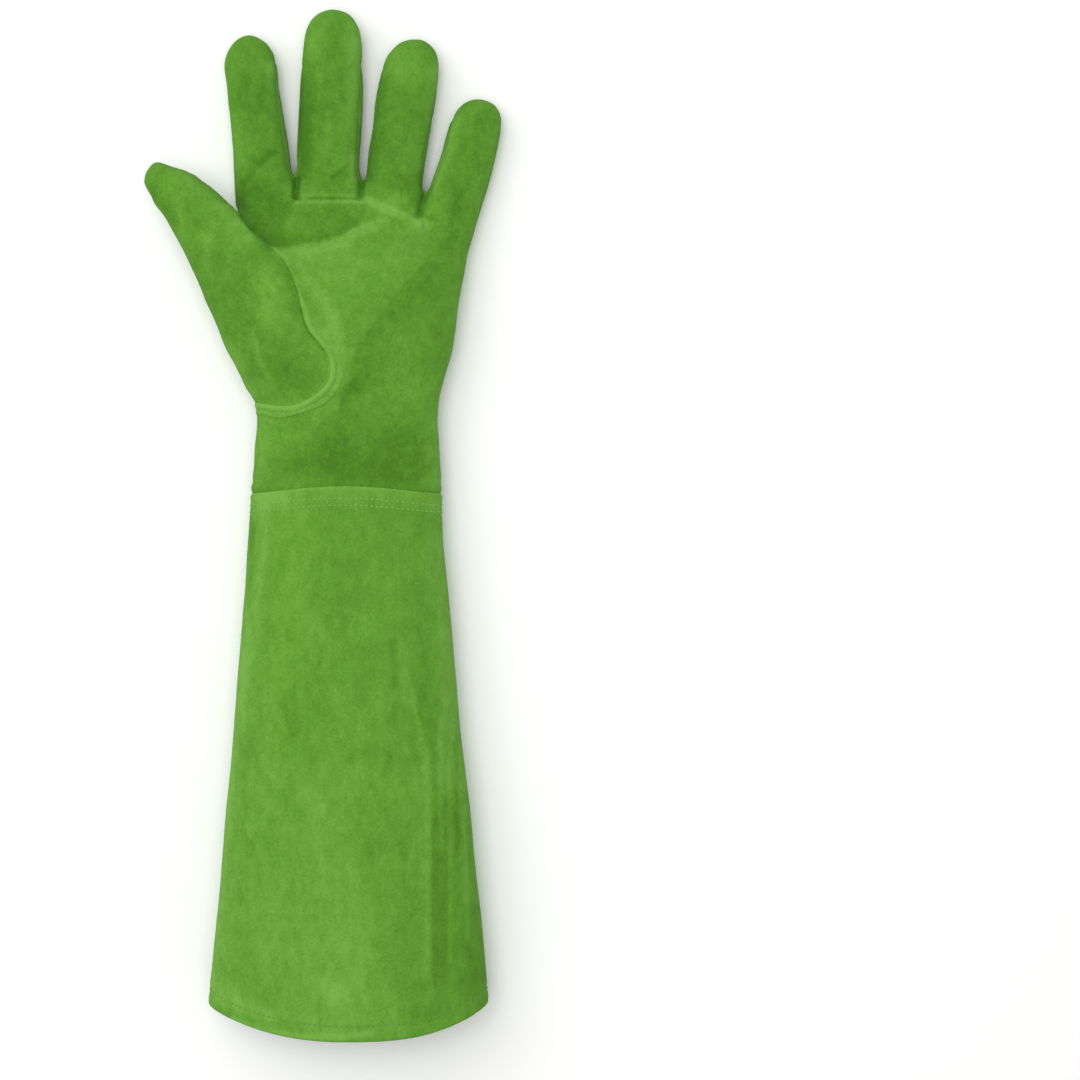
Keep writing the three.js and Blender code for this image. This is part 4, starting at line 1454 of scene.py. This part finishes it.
class GLOVE_OT_cuff_stitches(bpy.types.Operator):
    """Sew the two rows of stitches at the cuff's lap, and the row along its hem, seen from both sides"""

    bl_idname = "glove.cuff_stitches"
    bl_label = "Cuff stitches"

    def execute(self, context):
        sewing = context.scene.glove_stitches
        places, lap, hem = cuff_sheet()
        normals = grid_normals(places)
        lap_thread = spun_thread("green spun polyester thread, lap", sewing.colour)
        hem_thread = spun_thread("green spun polyester thread, hem", sewing.quiet_colour)
        lap_lines = [(lap, row, 0) for row in LAP_STITCH_ROWS]
        # The hem's row shows again on its turned-in strip
        hem_lines = [(hem, HEM_STITCH_ROW, depth) for depth in (0, -2 * HEM_ROUND)]
        for name, thread, lines in (
            ("cuff_lap_stitches", lap_thread, lap_lines),
            ("cuff_hem_stitches", hem_thread, hem_lines),
        ):
            bm = bmesh.new()
            for distance, wanted, depth in lines:
                line = sheet_row(places, distance, wanted)
                facing = sheet_row(normals, distance, wanted)
                line, facing = np.vstack([line, line[:1]]), np.vstack([facing, facing[:1]])
                line = line + facing * depth * MM
                facing = facing * (-1 if depth else 1)
                stitch_row(bm, line, facing, sewing, sewing.thickness)
            finish_piece(as_object(name, bm), thread, "cuff_leather")
        return {"FINISHED"}


class GLOVE_OT_hand_stitches(bpy.types.Operator):
    """Sew the welt's two rows, and the zigzag over the wrist's elastic on the back"""

    bl_idname = "glove.hand_stitches"
    bl_label = "Hand stitches"

    def execute(self, context):
        sewing = context.scene.glove_stitches
        quiet_thread = spun_thread("green spun polyester thread, welt", sewing.quiet_colour)
        thread = spun_thread("green spun polyester thread, elastic", sewing.colour)
        palm = [tree_of("thumb_welt_leather"), tree_of("palm_panel_leather")]
        seam = smooth_line(THUMB_SEAM_LINE)
        bm = bmesh.new()
        for off, start, end in WELT_STITCH_ROWS:
            line = offset_line(seam, off * MM)
            line = line[int(start * len(line)) : int(end * len(line))]
            places, normals = laid_on(palm, line, 1)
            stitch_row(bm, places, normals, sewing, sewing.thickness * WELT_THREAD)
        finish_piece(as_object("thumb_welt_stitches", bm), quiet_thread, "thumb_welt_leather")
        bm = bmesh.new()
        corners = plan(ZIGZAG_CORNERS)
        line = np.vstack([np.linspace(a, b, 8, endpoint=False) for a, b in zip(corners, corners[1:])])
        places, normals = laid_on([tree_of("back_panel_leather")], line, -1)
        stitch_row(bm, places, normals, sewing, sewing.thickness)
        finish_piece(as_object("wrist_zigzag_stitches", bm), thread, "back_panel_leather")
        return {"FINISHED"}


def matt_board():
    """White board with a matt face, which takes soft shadows and mirrors nothing."""
    material = bpy.data.materials.new("matt white board")
    material.use_nodes = True
    shader = material.node_tree.nodes["Principled BSDF"]
    shader.inputs["Base Color"].default_value = srgb("fbfbfa")
    shader.inputs["Roughness"].default_value = 0.95
    return material


# The studio in metres: half the floor's width; each lamp's width and place; where the lamps aim; and the
# camera's lens, its sensor in millimetres, how far it sees, and its place in plan, in the tables' own terms
FLOOR_HALF = 3
LAMPS = [("key", 2.0, (-0.75, 0.65, 1.5)), ("top", 1.2, (0.0, 0.0, 1.9))]
LAMP_AIM = (0.02, 0.0, 0.02)
CAMERA_LENS = 100
CAMERA_SENSOR = 36
CAMERA_REACH = 50
CAMERA_PLACE = (101.04, -6.75)


class GLOVE_OT_studio(bpy.types.Operator):
    """Set the pale floor, the soft lights and the camera that looks straight down"""

    bl_idname = "glove.studio"
    bl_label = "Studio"

    def execute(self, context):
        studio = context.scene.glove_studio
        bm = bmesh.new()
        bmesh.ops.create_grid(bm, x_segments=1, y_segments=1, size=FLOOR_HALF)
        floor = as_object("floor", bm)
        floor.data.materials.append(matt_board())
        world = bpy.data.worlds.new("even studio light")
        world.use_nodes = True
        background = world.node_tree.nodes["Background"]
        background.inputs["Color"].default_value = (1, 1, 1, 1)
        background.inputs["Strength"].default_value = studio.fill
        context.scene.world = world
        for name, width, place in LAMPS:
            light = bpy.data.lights.new(name, "AREA")
            light.shape = "DISK"
            light.size = width
            light.energy = getattr(studio, name + "_power")
            lamp = bpy.data.objects.new(name, light)
            lamp.location = place
            aim = Vector(LAMP_AIM) - Vector(place)
            lamp.rotation_euler = aim.to_track_quat("-Z", "Y").to_euler()
            context.scene.collection.objects.link(lamp)
        lens = bpy.data.cameras.new("camera")
        lens.lens = CAMERA_LENS
        lens.sensor_width = CAMERA_SENSOR
        lens.clip_end = CAMERA_REACH
        camera = bpy.data.objects.new("camera", lens)
        camera.location = (*plan([CAMERA_PLACE])[0], studio.camera_height)
        context.scene.collection.objects.link(camera)
        context.scene.camera = camera
        context.scene.view_settings.view_transform = "Standard"
        return {"FINISHED"}


class GLOVE_PT_panel(bpy.types.Panel):
    """The glove's pieces, in the order in which they are made"""

    bl_idname = "GLOVE_PT_panel"
    bl_label = "Pruning glove"
    bl_space_type = "VIEW_3D"
    bl_region_type = "UI"
    bl_category = "Glove"

    def draw(self, context):
        for settings in ("glove_leather", "glove_stitches", "glove_studio"):
            box = self.layout.box()
            group = getattr(context.scene, settings)
            for key in group.__annotations__:
                box.prop(group, key)
        for operator in STEPS:
            self.layout.operator(operator)


STEPS = [
    "glove.hand_panels",
    "glove.thumb_welt",
    "glove.cuff",
    "glove.cuff_stitches",
    "glove.hand_stitches",
    "glove.studio",
]

CLASSES = [
    GloveLeatherSettings,
    GloveStitchSettings,
    GloveStudioSettings,
    GLOVE_OT_hand_panels,
    GLOVE_OT_thumb_welt,
    GLOVE_OT_cuff,
    GLOVE_OT_cuff_stitches,
    GLOVE_OT_hand_stitches,
    GLOVE_OT_studio,
    GLOVE_PT_panel,
]


def register():
    for kind in CLASSES:
        bpy.utils.register_class(kind)
    bpy.types.Scene.glove_leather = bpy.props.PointerProperty(type=GloveLeatherSettings)
    bpy.types.Scene.glove_stitches = bpy.props.PointerProperty(type=GloveStitchSettings)
    bpy.types.Scene.glove_studio = bpy.props.PointerProperty(type=GloveStudioSettings)


def unregister():
    for name in ("glove_leather", "glove_stitches", "glove_studio"):
        delattr(bpy.types.Scene, name)
    for kind in reversed(CLASSES):
        bpy.utils.unregister_class(kind)


def main():
    register()
    bpy.ops.glove.hand_panels()
    bpy.ops.glove.thumb_welt()
    bpy.ops.glove.cuff()
    bpy.ops.glove.cuff_stitches()
    bpy.ops.glove.hand_stitches()
    bpy.ops.glove.studio()


if __name__ == "__main__":
    main()
